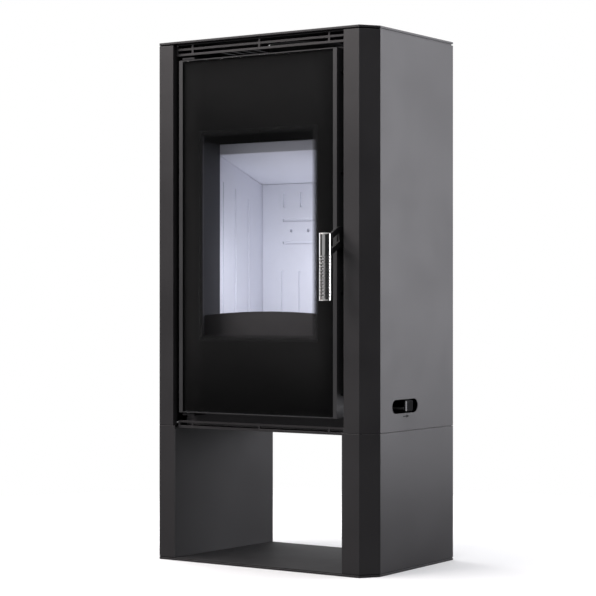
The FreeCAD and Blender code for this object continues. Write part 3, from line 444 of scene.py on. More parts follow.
def plain_metal(name, rgb, roughness, stretch):
    """Bare or plated steel with drawn lines."""
    made, tree, surface, where = new_finish(name)
    along = put(tree, "ShaderNodeMapping", {"Vector": where, "Scale": stretch}).outputs[0]
    lines = effect(tree, brushed_lines, along)
    worn = effect(tree, edge_wear, where, Amount=0.3)["Mask"]
    tone = tones(tree, lines["Tone"], rgb, 0.82, 1.15)
    feed(tree, surface, {
        "Base Color": mix_colours(tree, worn, tone, shade(rgb, 1.4)),
        "Metallic": 1.0,
        "Roughness": spread(tree, lines["Tone"], 0.2, 0.8, roughness - 0.08, roughness + 0.08),
    })
    relief(tree, surface, lines["Height"], 0.00003, 0.5)
    return made


def zinc_sheet(name, rgb):
    """Galvanised sheet with its crystal spangle."""
    made, tree, surface, where = new_finish(name)
    spangle = put(tree, "ShaderNodeTexVoronoi", {"Vector": where, "Scale": 90.0, "Randomness": 1.0})
    pick = put(tree, "ShaderNodeSeparateColor", {"Color": spangle.outputs["Color"]}).outputs[0]
    lines = effect(tree, brushed_lines, where)
    feed(tree, surface, {
        "Base Color": tones(tree, pick, rgb, 0.75, 1.2),
        "Metallic": 1.0,
        "Roughness": spread(tree, pick, 0.0, 1.0, 0.38, 0.55),
    })
    relief(tree, surface, maths(tree, "ADD", pick, lines["Height"]), 0.00003, 0.4)
    return made


def polished(name, rgb):
    """Chrome plate: near mirror, with faint hairlines and finger haze."""
    made, tree, surface, where = new_finish(name)
    lines = effect(tree, brushed_lines, where, Scale=900.0)
    haze = effect(tree, powder_texture, where, Cloud=60.0)["Change"]
    feed(tree, surface, {
        "Base Color": tones(tree, lines["Tone"], rgb, 0.93, 1.05),
        "Metallic": 1.0,
        "Roughness": spread(tree, haze, 0.0, 1.0, 0.07, 0.16),
    })
    relief(tree, surface, lines["Height"], 0.00001, 0.3)
    return made


def cast(name, rgb):
    """Matt iron casting."""
    made, tree, surface, where = new_finish(name)
    skin = effect(tree, casting_skin, where)
    worn = effect(tree, edge_wear, where, Radius=0.0015, Amount=0.6)["Mask"]
    film = effect(tree, settled_dust, where, Amount=0.1)["Mask"]
    tone = tones(tree, skin["Tone"], rgb, 0.75, 1.2)
    tone = mix_colours(tree, worn, tone, shade(rgb, 2.5))
    feed(tree, surface, {
        "Base Color": mix_colours(tree, film, tone, (0.2, 0.19, 0.18, 1.0)),
        "Roughness": spread(tree, skin["Tone"], 0.0, 1.0, 0.62, 0.8),
    })
    relief(tree, surface, skin["Height"], 0.0003, 0.6)
    return made


def mineral_board(name, rgb, scale=260.0, fleck=0.85):
    """Pressed mineral board or fired brick."""
    made, tree, surface, where = new_finish(name)
    face = effect(tree, board_flecks, where, Scale=scale)
    worn = effect(tree, edge_wear, where, Radius=0.0015, Amount=0.7)["Mask"]
    tone = tones(tree, face["Stain"], rgb, 1.0, 0.93)
    tone = mix_colours(tree, times(tree, face["Fleck"], 0.5), tone, shade(rgb, fleck))
    feed(tree, surface, {
        "Base Color": mix_colours(tree, worn, tone, shade(rgb, 1.15)),
        "Roughness": spread(tree, face["Stain"], 0.0, 1.0, 0.78, 0.92),
    })
    relief(tree, surface, face["Height"], 0.0003, 0.35)
    return made


def rope(name, rgb):
    """Knitted glass fibre."""
    made, tree, surface, where = new_finish(name)
    knit = effect(tree, knitted, where, Scale=0.32 / sizes().rope_strand)
    feed(tree, surface, {
        "Base Color": tones(tree, knit["Tone"], rgb, 0.7, 1.8),
        "Roughness": spread(tree, knit["Tone"], 0.0, 1.0, 0.8, 0.95),
        "Sheen Weight": 0.4,
    })
    relief(tree, surface, knit["Height"], 0.0006, 1.0)
    return made


def clear_glass(name):
    """Ceramic glass, very slightly smoked, that lets lamps through."""
    made, tree, surface, where = new_finish(name)
    smears = effect(tree, powder_texture, where, Grain=20.0, Cloud=4.0)["Change"]
    tint = mix_colours(tree, smears, (0.93, 0.94, 0.95, 1.0), (0.96, 0.96, 0.97, 1.0))
    feed(tree, surface, {"Base Color": tint, "Roughness": 0.0, "Transmission Weight": 1.0, "IOR": 1.5})
    let_through = put(tree, "ShaderNodeBsdfTransparent", {"Color": (0.92, 0.93, 0.94, 1.0)})
    shadow = put(tree, "ShaderNodeLightPath").outputs["Is Shadow Ray"]
    output_mix(tree, shadow, surface.outputs[0], let_through.outputs[0])
    return made


def printed_border(name, rgb):
    """Black enamel fired on the back of the glass. It thins out in fine dots round the clear window."""
    made, tree, surface, where = new_finish(name)
    own = sizes()
    place = put(tree, "ShaderNodeSeparateXYZ", {0: where}).outputs
    outside = minus(tree, maths(tree, "ABSOLUTE", place["X"]), own.window_half)
    middle = (own.window_foot + own.window_head) / 2
    tall = (own.window_head - own.window_foot) / 2
    from_middle = maths(tree, "ABSOLUTE", minus(tree, place["Z"], middle))
    above = minus(tree, from_middle, tall)
    distance = maths(tree, "MAXIMUM", outside, above)
    half = own.print_fade / 2
    solid = spread(tree, distance, -half, half)
    dots = put(tree, "ShaderNodeTexVoronoi", {"Vector": where, "Scale": 1100.0, "Randomness": 0.1})
    speckled = maths(tree, "ADD", solid, times(tree, dots.outputs["Distance"], 0.2))
    coat = effect(tree, powder_texture, where, Grain=40.0, Cloud=3.0)
    feed(tree, surface, {
        "Base Color": tones(tree, coat["Change"], rgb, 0.96, 1.04),
        "Roughness": spread(tree, coat["Height"], 0.3, 1.0, 0.6, 0.72),
        "Specular IOR Level": 0.0,
        "Alpha": spread(tree, speckled, 0.2, 1.0),
    })
    return made


FINISHES = {}


def finish(slot):
    """The material of a slot, or of an extra finish within one, made when it is first asked for."""
    if slot not in FINISHES:
        own = colours()
        # Darker copy of the casing colour for the log store's liners and floor: painted shade.
        store = [tint * STORE_SHADE_TONE for tint in own.casing]
        # Lighter copy of the casing colour for the front frame: painted light.
        front = [tint * FRAME_LIGHT_TONE for tint in own.casing]
        makers = {
            "casing_paint": lambda: painted("casing paint", own.casing, 0.36),
            "store_painted_shade": lambda: painted("log store painted shade", store, 0.54),
            "frame_painted_light": lambda: painted("front frame painted light", front, 0.5, dust=0.1),
            "knob_body": lambda: painted("knob paint", own.handle, 0.85, dust=0.05, wear=0.2),
            # Pale paint on the knob's front strip: a painted highlight standing for the bright reflection of
            # its lip.
            "knob_strip_painted_highlight": lambda: painted("knob strip painted highlight", (0.82, 0.82, 0.83), 0.4, dust=0.05, wear=0.0),
            "marked_paint": lambda: painted("marked casing paint", own.casing, 0.36, mark=slide_arrow),
            "firebox_steel": lambda: painted("firebox paint", own.firebox, 0.62, dust=0.1),
            "door_paint": lambda: painted("door paint", own.door, 0.38),
            "handle_paint": lambda: painted("handle paint", own.handle, 0.45, dust=0.1),
            "cast_iron": lambda: cast("cast iron", own.iron),
            "lining_board": lambda: mineral_board("lining board", own.lining),
            "brick": lambda: mineral_board("hearth brick", own.brick, 160.0, 0.7),
            "bright_steel": lambda: plain_metal("bright steel", own.bright, 0.32, (1.0, 1.0, 0.08)),
            "galvanised_steel": lambda: zinc_sheet("zinc-coated sheet", own.zinc),
            "door_glass": lambda: clear_glass("ceramic glass"),
            "glass_print": lambda: printed_border("fired print", own.glass_print),
            "seal_rope": lambda: rope("knitted rope", own.rope),
            "chrome": lambda: polished("chrome plate", own.chrome),
            "fasteners": lambda: plain_metal("black oxide", own.fixings, 0.4, (1.0, 1.0, 1.0)),
        }
        FINISHES[slot] = makers[slot]()
    return FINISHES[slot]


SLOT_OF = {name: part.data.materials[0].name for name, part in NODES.items()}
BODY_OF = {name: part["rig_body"] for name, part in NODES.items()}


# ---- shaping


def copy_of(node):
    """A bmesh of a CAD node with its loose triangles joined into whole faces."""
    made = bmesh.new()
    made.from_mesh(NODES[node].data)
    bmesh.ops.remove_doubles(made, verts=made.verts, dist=CLOSE)
    bmesh.ops.dissolve_limit(
        made, angle_limit=math.radians(0.5), use_dissolve_boundaries=False, verts=made.verts, edges=made.edges
    )
    return made


def block(made, low, high):
    """Adds a box between two corners."""
    centre = (Vector(low) + Vector(high)) / 2
    size = Vector(high) - Vector(low)
    place = Matrix.Translation(centre) @ Matrix.Diagonal((*size, 1.0))
    bmesh.ops.create_cube(made, size=1.0, matrix=place)


def slice_all(made, where, direction):
    """Divides every face along a plane."""
    whole = [*made.verts, *made.edges, *made.faces]
    bmesh.ops.bisect_plane(made, geom=whole, dist=CLOSE, plane_co=where, plane_no=direction)


def press(made, axis, side, low, high, depth):
    """Presses a rectangle into the face that looks along an axis: cuts round it and pushes what is inside.

    low and high are the rectangle's corners, with any value on the axis itself.
    """
    normal = Vector()
    normal[axis] = side
    for across in {0, 1, 2} - {axis}:
        direction = Vector()
        direction[across] = 1.0
        for limit in (low[across], high[across]):
            where = Vector()
            where[across] = limit
            faces = [face for face in made.faces if face.normal.dot(normal) > 0.999]
            touched = dict.fromkeys(part for face in faces for part in (*face.verts, *face.edges))
            geom = [*touched, *faces]
            bmesh.ops.bisect_plane(made, geom=geom, dist=CLOSE, plane_co=where, plane_no=direction)
    inside = []
    for face in made.faces:
        middle = face.calc_center_median()
        spans = all(low[across] < middle[across] < high[across] for across in {0, 1, 2} - {axis})
        if spans and face.normal.dot(normal) > 0.999:
            inside.append(face)
    pushed = bmesh.ops.extrude_face_region(made, geom=inside)["geom"]
    moved = [part for part in pushed if isinstance(part, bmesh.types.BMVert)]
    bmesh.ops.translate(made, verts=moved, vec=normal * -depth)
    bmesh.ops.delete(made, geom=[face for face in inside if face.is_valid], context="FACES_ONLY")


def round_edges(piece, width, segments=2):
    """A live bevel on a piece's sharp edges, shaded smooth between its flat faces."""
    rounding = piece.modifiers.new("Rounded edges", "BEVEL")
    rounding.width = width
    rounding.segments = segments
    rounding.limit_method = "ANGLE"
    rounding.angle_limit = math.radians(SHARP)
    rounding.harden_normals = True
    for face in piece.data.polygons:
        face.use_smooth = True


def soften(piece, angle=SHARP):
    """Smooth shading that breaks at sharp edges."""
    made = bmesh.new()
    made.from_mesh(piece.data)
    for face in made.faces:
        face.smooth = True
    for edge in made.edges:
        edge.smooth = len(edge.link_faces) == 2 and edge.calc_face_angle() < math.radians(angle)
    made.to_mesh(piece.data)
    made.free()


def add_object(name, data):
    made = bpy.data.objects.new(name, data)
    bpy.context.scene.collection.objects.link(made)
    return made


def new_piece(name, made, body, slot, material=None, stands_for=()):
    """Puts a finished bmesh in the scene as a piece of the stove."""
    mesh = bpy.data.meshes.new(name)
    made.to_mesh(mesh)
    made.free()
    for stale in ("custom_normal", "sharp_edge", "sharp_face"):
        if stale in mesh.attributes:
            mesh.attributes.remove(mesh.attributes[stale])
    mesh.materials.clear()
    mesh.materials.append(material or finish(slot))
    for face in mesh.polygons:
        face.material_index = 0
    piece = add_object(name, mesh)
    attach(piece, body)
    if stands_for:
        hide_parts(*stands_for)
    return piece


def rounded_copy(node, name, width, material=None, segments=2):
    """A piece that stands for one CAD node, with the same faces and rounded edges."""
    piece = new_piece(name, copy_of(node), BODY_OF[node], SLOT_OF[node], material, (node,))
    soften(piece)
    round_edges(piece, width, segments)
    return piece


def screw_head(made, centre, axis, radius, height, socket):
    """A domed screw head with a hex socket, its foot at centre, looking along an axis."""
    turn = UP.rotation_difference(Vector(axis)).to_matrix().to_4x4()
    place = Matrix.Translation(Vector(centre)) @ turn
    start = bmesh.ops.create_circle(made, cap_ends=True, segments=24, radius=radius)["verts"]
    face = next(iter(start[0].link_faces))
    if face.normal.z < 0:
        face.normal_flip()
    head = bmesh.ops.extrude_discrete_faces(made, faces=[face])["faces"][0]
    part = set(start) | set(head.verts)
    bmesh.ops.translate(made, verts=head.verts, vec=(0.0, 0.0, height * 0.7))
    for inward, up in ((0.18, 0.2), (0.25, 0.1)):
        inset = bmesh.ops.inset_individual(made, faces=[head], thickness=radius * inward)
        bmesh.ops.translate(made, verts=head.verts, vec=(0.0, 0.0, height * up))
        part |= {vert for ring in inset["faces"] for vert in ring.verts}
    bmesh.ops.inset_individual(made, faces=[head], thickness=radius * 0.08)
    for step, vert in enumerate(head.verts):
        angle = step * math.tau / 24
        corner = math.cos(math.pi / 6) / math.cos((angle % (math.pi / 3)) - math.pi / 6)
        level = vert.co.z
        vert.co = Vector((math.cos(angle), math.sin(angle), 0.0)) * socket * corner
        vert.co.z = level
    part |= set(head.verts)
    floor = bmesh.ops.extrude_discrete_faces(made, faces=[head])["faces"][0]
    bmesh.ops.translate(made, verts=floor.verts, vec=(0.0, 0.0, -height * 0.55))
    part |= set(floor.verts)
    bmesh.ops.contextual_create(made, geom=[edge for edge in made.edges if edge.is_boundary])
    bmesh.ops.transform(made, matrix=place, verts=list(part))
    bmesh.ops.recalc_face_normals(made, faces=made.faces)


def loose_parts(node):
    """The lowest and highest corner of each separate solid in a CAD node."""
    made = bmesh.new()
    made.from_mesh(NODES[node].data)
    bmesh.ops.remove_doubles(made, verts=made.verts, dist=CLOSE)
    left = set(made.verts)
    found = []
    while left:
        group, edge = set(), {left.pop()}
        while edge:
            group |= edge
            edge = {bond.other_vert(vert) for vert in edge for bond in vert.link_edges} - group
        left -= group
        points = [vert.co for vert in group]
        low = Vector(tuple(min(point[axis] for point in points) for axis in range(3)))
        high = Vector(tuple(max(point[axis] for point in points) for axis in range(3)))
        found.append((low, high))
    made.free()
    return sorted(found, key=lambda pair: tuple(round(part, 4) for part in pair[0]))


# ---- operators


class STOVE_OT_sheets(bpy.types.Operator):
    """Rounds the edges of the painted sheets of the casing, pedestal and top"""

    bl_idname = "stove.sheets"
    bl_label = "Casing sheets"

    def execute(self, context):
        for node in (
            "base_plate", "pedestal_floor", "pedestal_panel_left", "pedestal_panel_right",
            "pedestal_liner_left", "pedestal_liner_right", "pedestal_top_plate", "lower_grille",
            "casing_panel_left", "casing_panel_right", "upper_grille", "top_plate", "rear_shield",
        ):
            paint = None
            if node == "casing_panel_right":
                paint = finish("marked_paint")
            # The log store's liners and floor take the darker copy of the casing paint, which is painted
            # shade.
            elif node.startswith("pedestal_liner") or node == "pedestal_floor":
                paint = finish("store_painted_shade")
            rounded_copy(node, f"{node}_sheet", sizes().sheet_edge, paint)
        return {"FINISHED"}


class STOVE_OT_firebox(bpy.types.Operator):
    """Rounds the edges of the welded firebox and what is bolted to it"""

    bl_idname = "stove.firebox"
    bl_label = "Firebox"

    def execute(self, context):
        for node in (
            "front_frame", "firebox_floor", "smoke_deflector", "lining_retainers", "air_box", "air_spigot",
            "flue_collar", "hinge_brackets", "latch_keeper", "ash_drawer",
        ):
            # The front frame takes the lighter copy of the casing paint, which is painted light.
            paint = finish("frame_painted_light") if node == "front_frame" else None
            rounded_copy(node, f"{node}_made", sizes().sheet_edge, paint)
        return {"FINISHED"}


class STOVE_OT_linings(bpy.types.Operator):
    """Builds the pressed lining boards with their grooves and air holes"""

    bl_idname = "stove.linings"
    bl_label = "Lining boards"

    def execute(self, context):
        own = sizes()
        half = own.groove_width / 2
        seam = own.board_seam
        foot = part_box("hearth_bricks")[1].z
        for node, side in (("lining_left", 1), ("lining_right", -1)):
            made = copy_of(node)
            head = [vert for vert in made.verts if vert.co.z > 0.7]
            bmesh.ops.translate(made, verts=head, vec=(0.0, 0.0, -seam))
            for deep, top in SIDE_GROOVES:
                press(made, 0, side, (0, deep - half, foot), (0, deep + half, top), own.groove_depth)
            board = new_piece(f"{node}_board", made, "stove", "lining_board", None, (node,))
            round_edges(board, own.groove_depth / 4)
        self.back_board(own, half, foot)
        rounded_copy("throat_plate", "throat_plate_board", own.board_edge)
        return {"FINISHED"}

    def back_board(self, own, half, foot):
        made = copy_of("lining_back")
        deep = own.groove_depth
        hole = own.air_hole / 2
        for across in SHORT_GROOVES:
            for place in (-across, across):
                press(made, 1, -1, (place - half, 0, SHORT_FOOT), (place + half, 0, SHORT_TOP), deep)
        for level in CROSS_GROOVES:
            press(made, 1, -1, (-CROSS_HALF, 0, level - half), (CROSS_HALF, 0, level + half), deep)
        for across in LONG_GROOVES:
            for place in (-across, across):
                press(made, 1, -1, (place - half, 0, foot), (place + half, 0, LONG_TOP), deep)
        low, high = AIR_HOLE_LEVEL - hole, AIR_HOLE_LEVEL + hole
        for place in AIR_HOLES:
            press(made, 1, -1, (place - hole, 0, low), (place + hole, 0, high), own.air_hole)
        for side in (-1, 1):
            edge = [vert for vert in made.verts if vert.co.x * side > 0.1645]
            bmesh.ops.translate(made, verts=edge, vec=(-side * own.board_seam, 0.0, 0.0))
        top = [vert for vert in made.verts if vert.co.z > 0.790]
        bmesh.ops.translate(made, verts=top, vec=(0.0, 0.0, -own.board_seam))
        board = new_piece("lining_back_board", made, "stove", "lining_board", None, ("lining_back",))
        round_edges(board, own.groove_depth / 4)


class STOVE_OT_hearth(bpy.types.Operator):
    """Finishes the hearth bricks, grate and log retainer"""

    bl_idname = "stove.hearth"
    bl_label = "Hearth"

    def execute(self, context):
        rounded_copy("hearth_bricks", "hearth_brick_set", sizes().board_edge, finish("brick"))
        rounded_copy("fire_grate", "fire_grate_cast", sizes().casting_edge)
        self.retainer()
        return {"FINISHED"}

    def retainer(self):
        """The cast bar that holds the logs back. Its arched upper part leans back from a crease."""
        made = copy_of("log_retainer")
        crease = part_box("log_retainer")[1].z - CREASE_DROP
        slice_all(made, UP * crease, UP)
        for vert in made.verts:
            if vert.co.z > crease + 1e-5:
                vert.co.y += (vert.co.z - crease) * CREASE_LEAN
        bar = new_piece("log_retainer_cast", made, "stove", "cast_iron", None, ("log_retainer",))
        round_edges(bar, sizes().casting_edge, 3)


class STOVE_OT_door(bpy.types.Operator):
    """Builds the glazed door: frame, trims, glass and its printed border"""

    bl_idname = "stove.door"
    bl_label = "Door"

    def execute(self, context):
        own = sizes()
        for node in ("door_frame", "door_trim_left", "door_trim_right", "seal_channel"):
            rounded_copy(node, f"{node}_sheet", own.sheet_edge)
        rounded_copy("door_glass", "door_glass_pane", own.sheet_edge)
        self.border(own)
        return {"FINISHED"}

    def border(self, own):
        """A thin frame just inside the back face of the glass, open at the window."""
        low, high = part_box("door_glass")
        made = bmesh.new()
        fade = own.print_fade / 2
        inset = 0.0006
        back = high.y - 0.0002
        front = back - 0.0001
        block(made, (low.x + inset, front, low.z + inset), (high.x - inset, back, high.z - inset))
        half = own.window_half - fade
        foot, head = own.window_foot + fade, own.window_head - fade
        for direction, limits in (((1, 0, 0), (-half, half)), ((0, 0, 1), (foot, head))):
            for limit in limits:
                slice_all(made, Vector(direction) * limit, direction)
        window = []
        for face in made.faces:
            middle = face.calc_center_median()
            if abs(middle.x) < half and foot < middle.z < head and abs(face.normal.y) > 0.9:
                window.append(face)
        rims = list(dict.fromkeys(edge for face in window for edge in face.edges))
        bmesh.ops.delete(made, geom=window, context="FACES_ONLY")
        open_edges = [edge for edge in rims if edge.is_valid and edge.is_boundary]
        bmesh.ops.bridge_loops(made, edges=open_edges)
        bmesh.ops.recalc_face_normals(made, faces=made.faces)
        new_piece("door_glass_print", made, "door", "door_glass", finish("glass_print"))


class STOVE_OT_seals(bpy.types.Operator):
    """Builds the knitted rope round the door and the flat tape behind the glass"""

    bl_idname = "stove.seals"
    bl_label = "Door seals"

    def execute(self, context):
        for node, name in (("door_rope_seal", "door_rope_knitted"), ("glass_gasket", "glass_gasket_tape")):
            piece = new_piece(name, copy_of(node), "door", "seal_rope", None, (node,))
            low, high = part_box(node)
            round_edges(piece, (high.y - low.y) * 0.45, 4)
        return {"FINISHED"}


class STOVE_OT_handle(bpy.types.Operator):
    """Builds the handle: a perforated chrome sleeve on a black core, its caps and the forked arm"""

    bl_idname = "stove.handle"
    bl_label = "Door handle"

    def execute(self, context):
        own = sizes()
        low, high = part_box("handle_grip")
        centre = (low + high) / 2
        radius = (high.x - low.x) / 2
        self.sleeve(own, centre, radius, low.z, high.z)
        rounded_copy("grip_core", "grip_core_rod", own.sheet_edge, finish("knob_body"))
        rounded_copy("grip_caps", "grip_caps_domed", own.casting_edge, segments=3)
        rounded_copy("handle_arm", "handle_arm_forked", own.sheet_edge)
        rounded_copy("handle_spindle", "handle_spindle_turned", own.sheet_edge)
        rounded_copy("latch_cam", "latch_cam_cut", own.sheet_edge)
        return {"FINISHED"}

    def sleeve(self, own, centre, radius, foot, head):
        """Rolls a flat punched sheet into a tube. The punch draws in the rim of each hole a little."""
        columns = SLEEVE_COLUMNS
        rows = int((head - foot) / own.sleeve_row)
        row = (head - foot) / rows
        column = math.tau * radius / columns
        made = bmesh.new()
        flat = Matrix.Diagonal((column * columns, row * rows, 1.0, 1.0))
        bmesh.ops.create_grid(made, x_segments=columns, y_segments=rows, size=0.5, matrix=flat)
        punched = []
        for face in made.faces:
            middle = face.calc_center_median()
            across = math.floor(middle.x / column)
            up = math.floor((middle.y + row * rows / 2) / row)
            if (across + up) % 2 == 0 and 1 <= up < rows * PUNCHED_TO:
                punched.append(face)
        centres = {face: face.calc_center_median() for face in punched}
        bmesh.ops.inset_individual(made, faces=punched, thickness=min(row, column) * 0.04)
        rims = list(dict.fromkeys(edge for face in punched for edge in face.edges))
        bmesh.ops.subdivide_edges(made, edges=rims, cuts=1)
        for face in punched:
            middle = centres[face]
            corners = list(face.verts)
            sums = [corner.co.x + corner.co.y for corner in corners]
            first = sums.index(max(sums))
            turning = 1 if face.normal.z > 0 else -1
            for step in range(len(corners)):
                angle = math.pi / 4 + turning * step * math.tau / len(corners)
                reach = Vector((math.cos(angle), math.sin(angle), 0.0)) * own.sleeve_hole / 2
                corners[(first + step) % len(corners)].co = middle + reach
        pressed = {vert for face in punched for vert in face.verts}
        bmesh.ops.delete(made, geom=punched, context="FACES_ONLY")
        for vert in made.verts:
            angle = vert.co.x / radius
            reach = radius - own.sleeve_dimple if vert in pressed else radius
            around = Vector((math.sin(angle), -math.cos(angle), 0.0)) * reach
            vert.co = centre + around + Vector((0.0, 0.0, vert.co.y))
        bmesh.ops.remove_doubles(made, verts=made.verts, dist=1e-5)
        bmesh.ops.recalc_face_normals(made, faces=made.faces)
        outward = sum(face.normal.dot(face.calc_center_median() - centre) for face in made.faces)
        if outward < 0:
            bmesh.ops.reverse_faces(made, faces=made.faces)
        bmesh.ops.solidify(made, geom=made.faces, thickness=own.sleeve_wall)
        piece = new_piece("handle_grip_sleeve", made, "handle", "chrome", None, ("handle_grip",))
        soften(piece, 40.0)


class STOVE_OT_fixings(bpy.types.Operator):
    """Builds the socket-head screws and bolts"""

    bl_idname = "stove.fixings"
    bl_label = "Screws and bolts"

    def execute(self, context):
        made = bmesh.new()
        for low, high in loose_parts("door_screws"):
            centre = (low + high) / 2
            side = 1.0 if centre.x > 0 else -1.0
            outer = high.x if side > 0 else low.x
            radius = (high.z - low.z) / 2
            foot = (outer - side * SCREW_HEAD, centre.y, centre.z)
            screw_head(made, foot, (side, 0.0, 0.0), radius, SCREW_HEAD, radius * 0.42)
        piece = new_piece("door_screw_heads", made, "door", "fasteners", None, ("door_screws",))
        soften(piece)
        made = bmesh.new()
        for low, high in loose_parts("flue_collar_bolts"):
            centre = (low + high) / 2
            radius = (high.x - low.x) / 2
            foot = (centre.x, centre.y, low.z)
            screw_head(made, foot, UP, radius, high.z - low.z, radius * 0.45)
        piece = new_piece("flue_bolt_heads", made, "stove", "fasteners", None, ("flue_collar_bolts",))
        soften(piece)
        return {"FINISHED"}


class STOVE_OT_air_control(bpy.types.Operator):
    """Finishes the air slide, its rod and its knob"""

    bl_idname = "stove.air_control"
    bl_label = "Air control"

    def execute(self, context):
        low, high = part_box("air_knob")
        face = high.x - KNOB_FACE
        pitch = (high.y - low.y - KNOB_LINE) / KNOB_RIBS
        made = bmesh.new()
        block(made, (low.x, low.y + 0.0003, low.z), (face, high.y, high.z))
        for step in range(KNOB_RIBS):
            start = low.y + KNOB_LINE + (step + 0.28) * pitch
            foot = (face - RIB_FOOT, start, low.z + RIB_GAP)
            block(made, foot, (face + RIB_HEIGHT, start + pitch * 0.5, high.z - RIB_GAP))
        matt = finish("knob_body")
        body = new_piece("air_knob_ribbed", made, "air_control", "handle_paint", matt, ("air_knob",))
        round_edges(body, KNOB_EDGE)
        made = bmesh.new()
        # The pale strip on the knob's front: its colour is a painted highlight.
        foot = (face - 0.0014, low.y, low.z + 0.0004)
        block(made, foot, (high.x - 0.0002, low.y + KNOB_LINE, high.z - 0.0004))
        edge = new_piece("air_knob_highlight_strip", made, "air_control", "handle_paint", finish("knob_strip_painted_highlight"))
        round_edges(edge, KNOB_EDGE)
        rounded_copy("air_valve_plate", "air_valve_plate_cut", sizes().sheet_edge)
        rounded_copy("air_rod", "air_rod_turned", sizes().sheet_edge)
        return {"FINISHED"}


class STOVE_OT_carried_over(bpy.types.Operator):
    """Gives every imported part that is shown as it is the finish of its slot"""

    bl_idname = "stove.carried_over"
    bl_label = "Other parts"

    def execute(self, context):
        for name, part in NODES.items():
            for place in range(len(part.material_slots)):
                part.material_slots[place].material = finish(SLOT_OF[name])
        return {"FINISHED"}


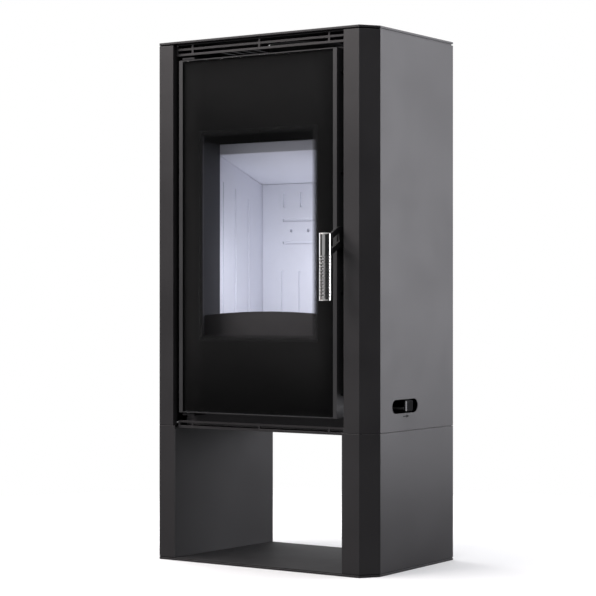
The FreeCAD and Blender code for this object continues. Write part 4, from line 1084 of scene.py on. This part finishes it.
class STOVE_OT_stage(bpy.types.Operator):
    """Sets up the floor, the soft lights and the camera"""

    bl_idname = "stove.stage"
    bl_label = "Studio"

    def execute(self, context):
        self.floor()
        self.surround(context.scene)
        self.lamps()
        self.camera(context.scene)
        context.scene.view_settings.view_transform = "Standard"
        return {"FINISHED"}

    def floor(self):
        made = bmesh.new()
        bmesh.ops.create_circle(made, cap_ends=True, segments=96, radius=2.6)
        mesh = bpy.data.meshes.new("studio_floor")
        made.to_mesh(mesh)
        made.free()
        floor = add_object("studio_floor", mesh)
        material, tree, surface, where = new_finish("studio floor")
        own = colours().floor
        cloud = effect(tree, powder_texture, where, Grain=60.0, Cloud=2.0)["Change"]
        place = put(tree, "ShaderNodeSeparateXYZ", {0: where}).outputs
        far = maths(tree, "ADD", maths(tree, "POWER", place["X"], 2.0), maths(tree, "POWER", place["Y"], 2.0))
        feed(tree, surface, {
            "Base Color": tones(tree, cloud, own, 0.985, 1.015),
            "Roughness": 0.9,
            "Alpha": spread(tree, far, 0.15, 2.2, 1.0, 0.0),
        })
        dark = put(tree, "ShaderNodeBsdfDiffuse", {"Color": (0.10, 0.10, 0.10, 1.0)})
        seen = put(tree, "ShaderNodeLightPath").outputs["Is Camera Ray"]
        output_mix(tree, seen, dark.outputs[0], surface.outputs[0])
        mesh.materials.append(material)

    def surround(self, scene):
        world = bpy.data.worlds.new("Studio")
        world.use_nodes = True
        scene.world = world
        tree = world.node_tree
        tree.nodes.clear()
        seen = put(tree, "ShaderNodeBackground", {"Color": (1.0, 1.0, 1.0, 1.0), "Strength": 1.0})
        towards = put(tree, "ShaderNodeTexCoord").outputs["Generated"]
        right = spread(tree, alike(tree, towards, DARK_RIGHT), 0.62, 0.75, 0.36, 0.02)
        left = spread(tree, alike(tree, towards, DARK_LEFT), 0.86, 0.905, 1.0, 0.12)
        around = times(tree, right, left)
        up = put(tree, "ShaderNodeSeparateXYZ", {0: towards}).outputs["Z"]
        glow = maths(tree, "ADD", around, spread(tree, up, 0.35, 0.9, 0.0, 0.7))
        fill = put(tree, "ShaderNodeBackground", {"Color": (0.97, 0.97, 1.0, 1.0), "Strength": glow})
        path = put(tree, "ShaderNodeLightPath").outputs
        bounced = maths(tree, "ADD", path["Diffuse Depth"], path["Glossy Depth"])
        direct = times(tree, path["Is Transmission Ray"], maths(tree, "LESS_THAN", bounced, 0.5))
        through = maths(tree, "MAXIMUM", path["Is Camera Ray"], direct)
        both = put(tree, "ShaderNodeMixShader", {0: through, 1: fill.outputs[0], 2: seen.outputs[0]})
        output = put(tree, "ShaderNodeOutputWorld")
        tree.links.new(both.outputs[0], output.inputs[0])

    def lamps(self):
        """Four large soft lamps, and two small ones in the fire chamber that nothing mirrors."""
        plain, cool = (1.0, 1.0, 1.0), (0.93, 0.94, 1.0)
        for name, place, aim, size, power, tint, mirrored in (
            ("key", (3.10, 2.90, 1.32), (0.27, 0.0, 1.15), (2.6, 2.9), 86.0, (0.95, 0.94, 1.0), True),
            ("front fill", (-2.4, -2.6, 3.0), (0.0, 0.0, 0.9), (3.6, 2.4), 126.0, (1.0, 0.935, 0.925), True),
            ("left wall", (-2.8, 0.6, 1.2), (0.0, 0.1, 0.8), (2.6, 2.4), 60.0, plain, True),
            ("top", (0.3, -0.3, 3.6), (0.0, 0.0, 0.5), (3.0, 3.0), 40.0, plain, True),
            ("chamber", (0.0, -0.10, 0.58), (0.0, 0.05, 0.59), (0.26, 0.18), 0.48, cool, False),
            ("throat", (0.0, -0.145, 0.66), (0.0, -0.06, 0.83), (0.22, 0.03), 0.07, cool, False),
        ):
            lamp = self.lamp(name, place, aim, size, power, tint)
            lamp.visible_camera = False
            lamp.visible_transmission = False
            lamp.visible_glossy = mirrored

    def lamp(self, name, place, aim, size, power, tint):
        data = bpy.data.lights.new(name, "AREA")
        data.shape = "RECTANGLE"
        data.size, data.size_y = size
        data.energy = power
        data.color = tint
        made = add_object(name, data)
        made.location = place
        made.rotation_euler = (Vector(aim) - Vector(place)).to_track_quat("-Z", "Y").to_euler()
        return made

    def camera(self, scene):
        data = bpy.data.cameras.new("Front quarter")
        data.lens = 113.97
        data.sensor_width = 36.0
        data.shift_y = 0.0008
        made = add_object("Front quarter", data)
        made.location = (2.1965, -3.2855, 0.5455)
        made.rotation_euler = (math.radians(90.0), 0.0, math.radians(33.85))
        scene.camera = made


class STOVE_PT_panel(bpy.types.Panel):
    """Sizes, colours and building steps of the stove"""

    bl_idname = "STOVE_PT_panel"
    bl_label = "Stove"
    bl_space_type = "VIEW_3D"
    bl_region_type = "UI"
    bl_category = "Stove"

    def draw(self, context):
        for step in STEPS:
            self.layout.operator(step.bl_idname)
        for group in (context.scene.stove_sizes, context.scene.stove_colours):
            column = self.layout.column()
            for name in group.__annotations__:
                column.prop(group, name)


STEPS = (
    STOVE_OT_stage,
    STOVE_OT_carried_over,
    STOVE_OT_sheets,
    STOVE_OT_firebox,
    STOVE_OT_linings,
    STOVE_OT_hearth,
    STOVE_OT_door,
    STOVE_OT_seals,
    STOVE_OT_handle,
    STOVE_OT_fixings,
    STOVE_OT_air_control,
)
CLASSES = (StoveSizes, StoveColours, *STEPS, STOVE_PT_panel)


def register():
    for part in CLASSES:
        bpy.utils.register_class(part)
    bpy.types.Scene.stove_sizes = PointerProperty(type=StoveSizes)
    bpy.types.Scene.stove_colours = PointerProperty(type=StoveColours)


def unregister():
    del bpy.types.Scene.stove_colours
    del bpy.types.Scene.stove_sizes
    for part in reversed(CLASSES):
        bpy.utils.unregister_class(part)


def main():
    register()
    for step in STEPS:
        group, name = step.bl_idname.split(".")
        getattr(getattr(bpy.ops, group), name)()


if __name__ == "__main__":
    main()
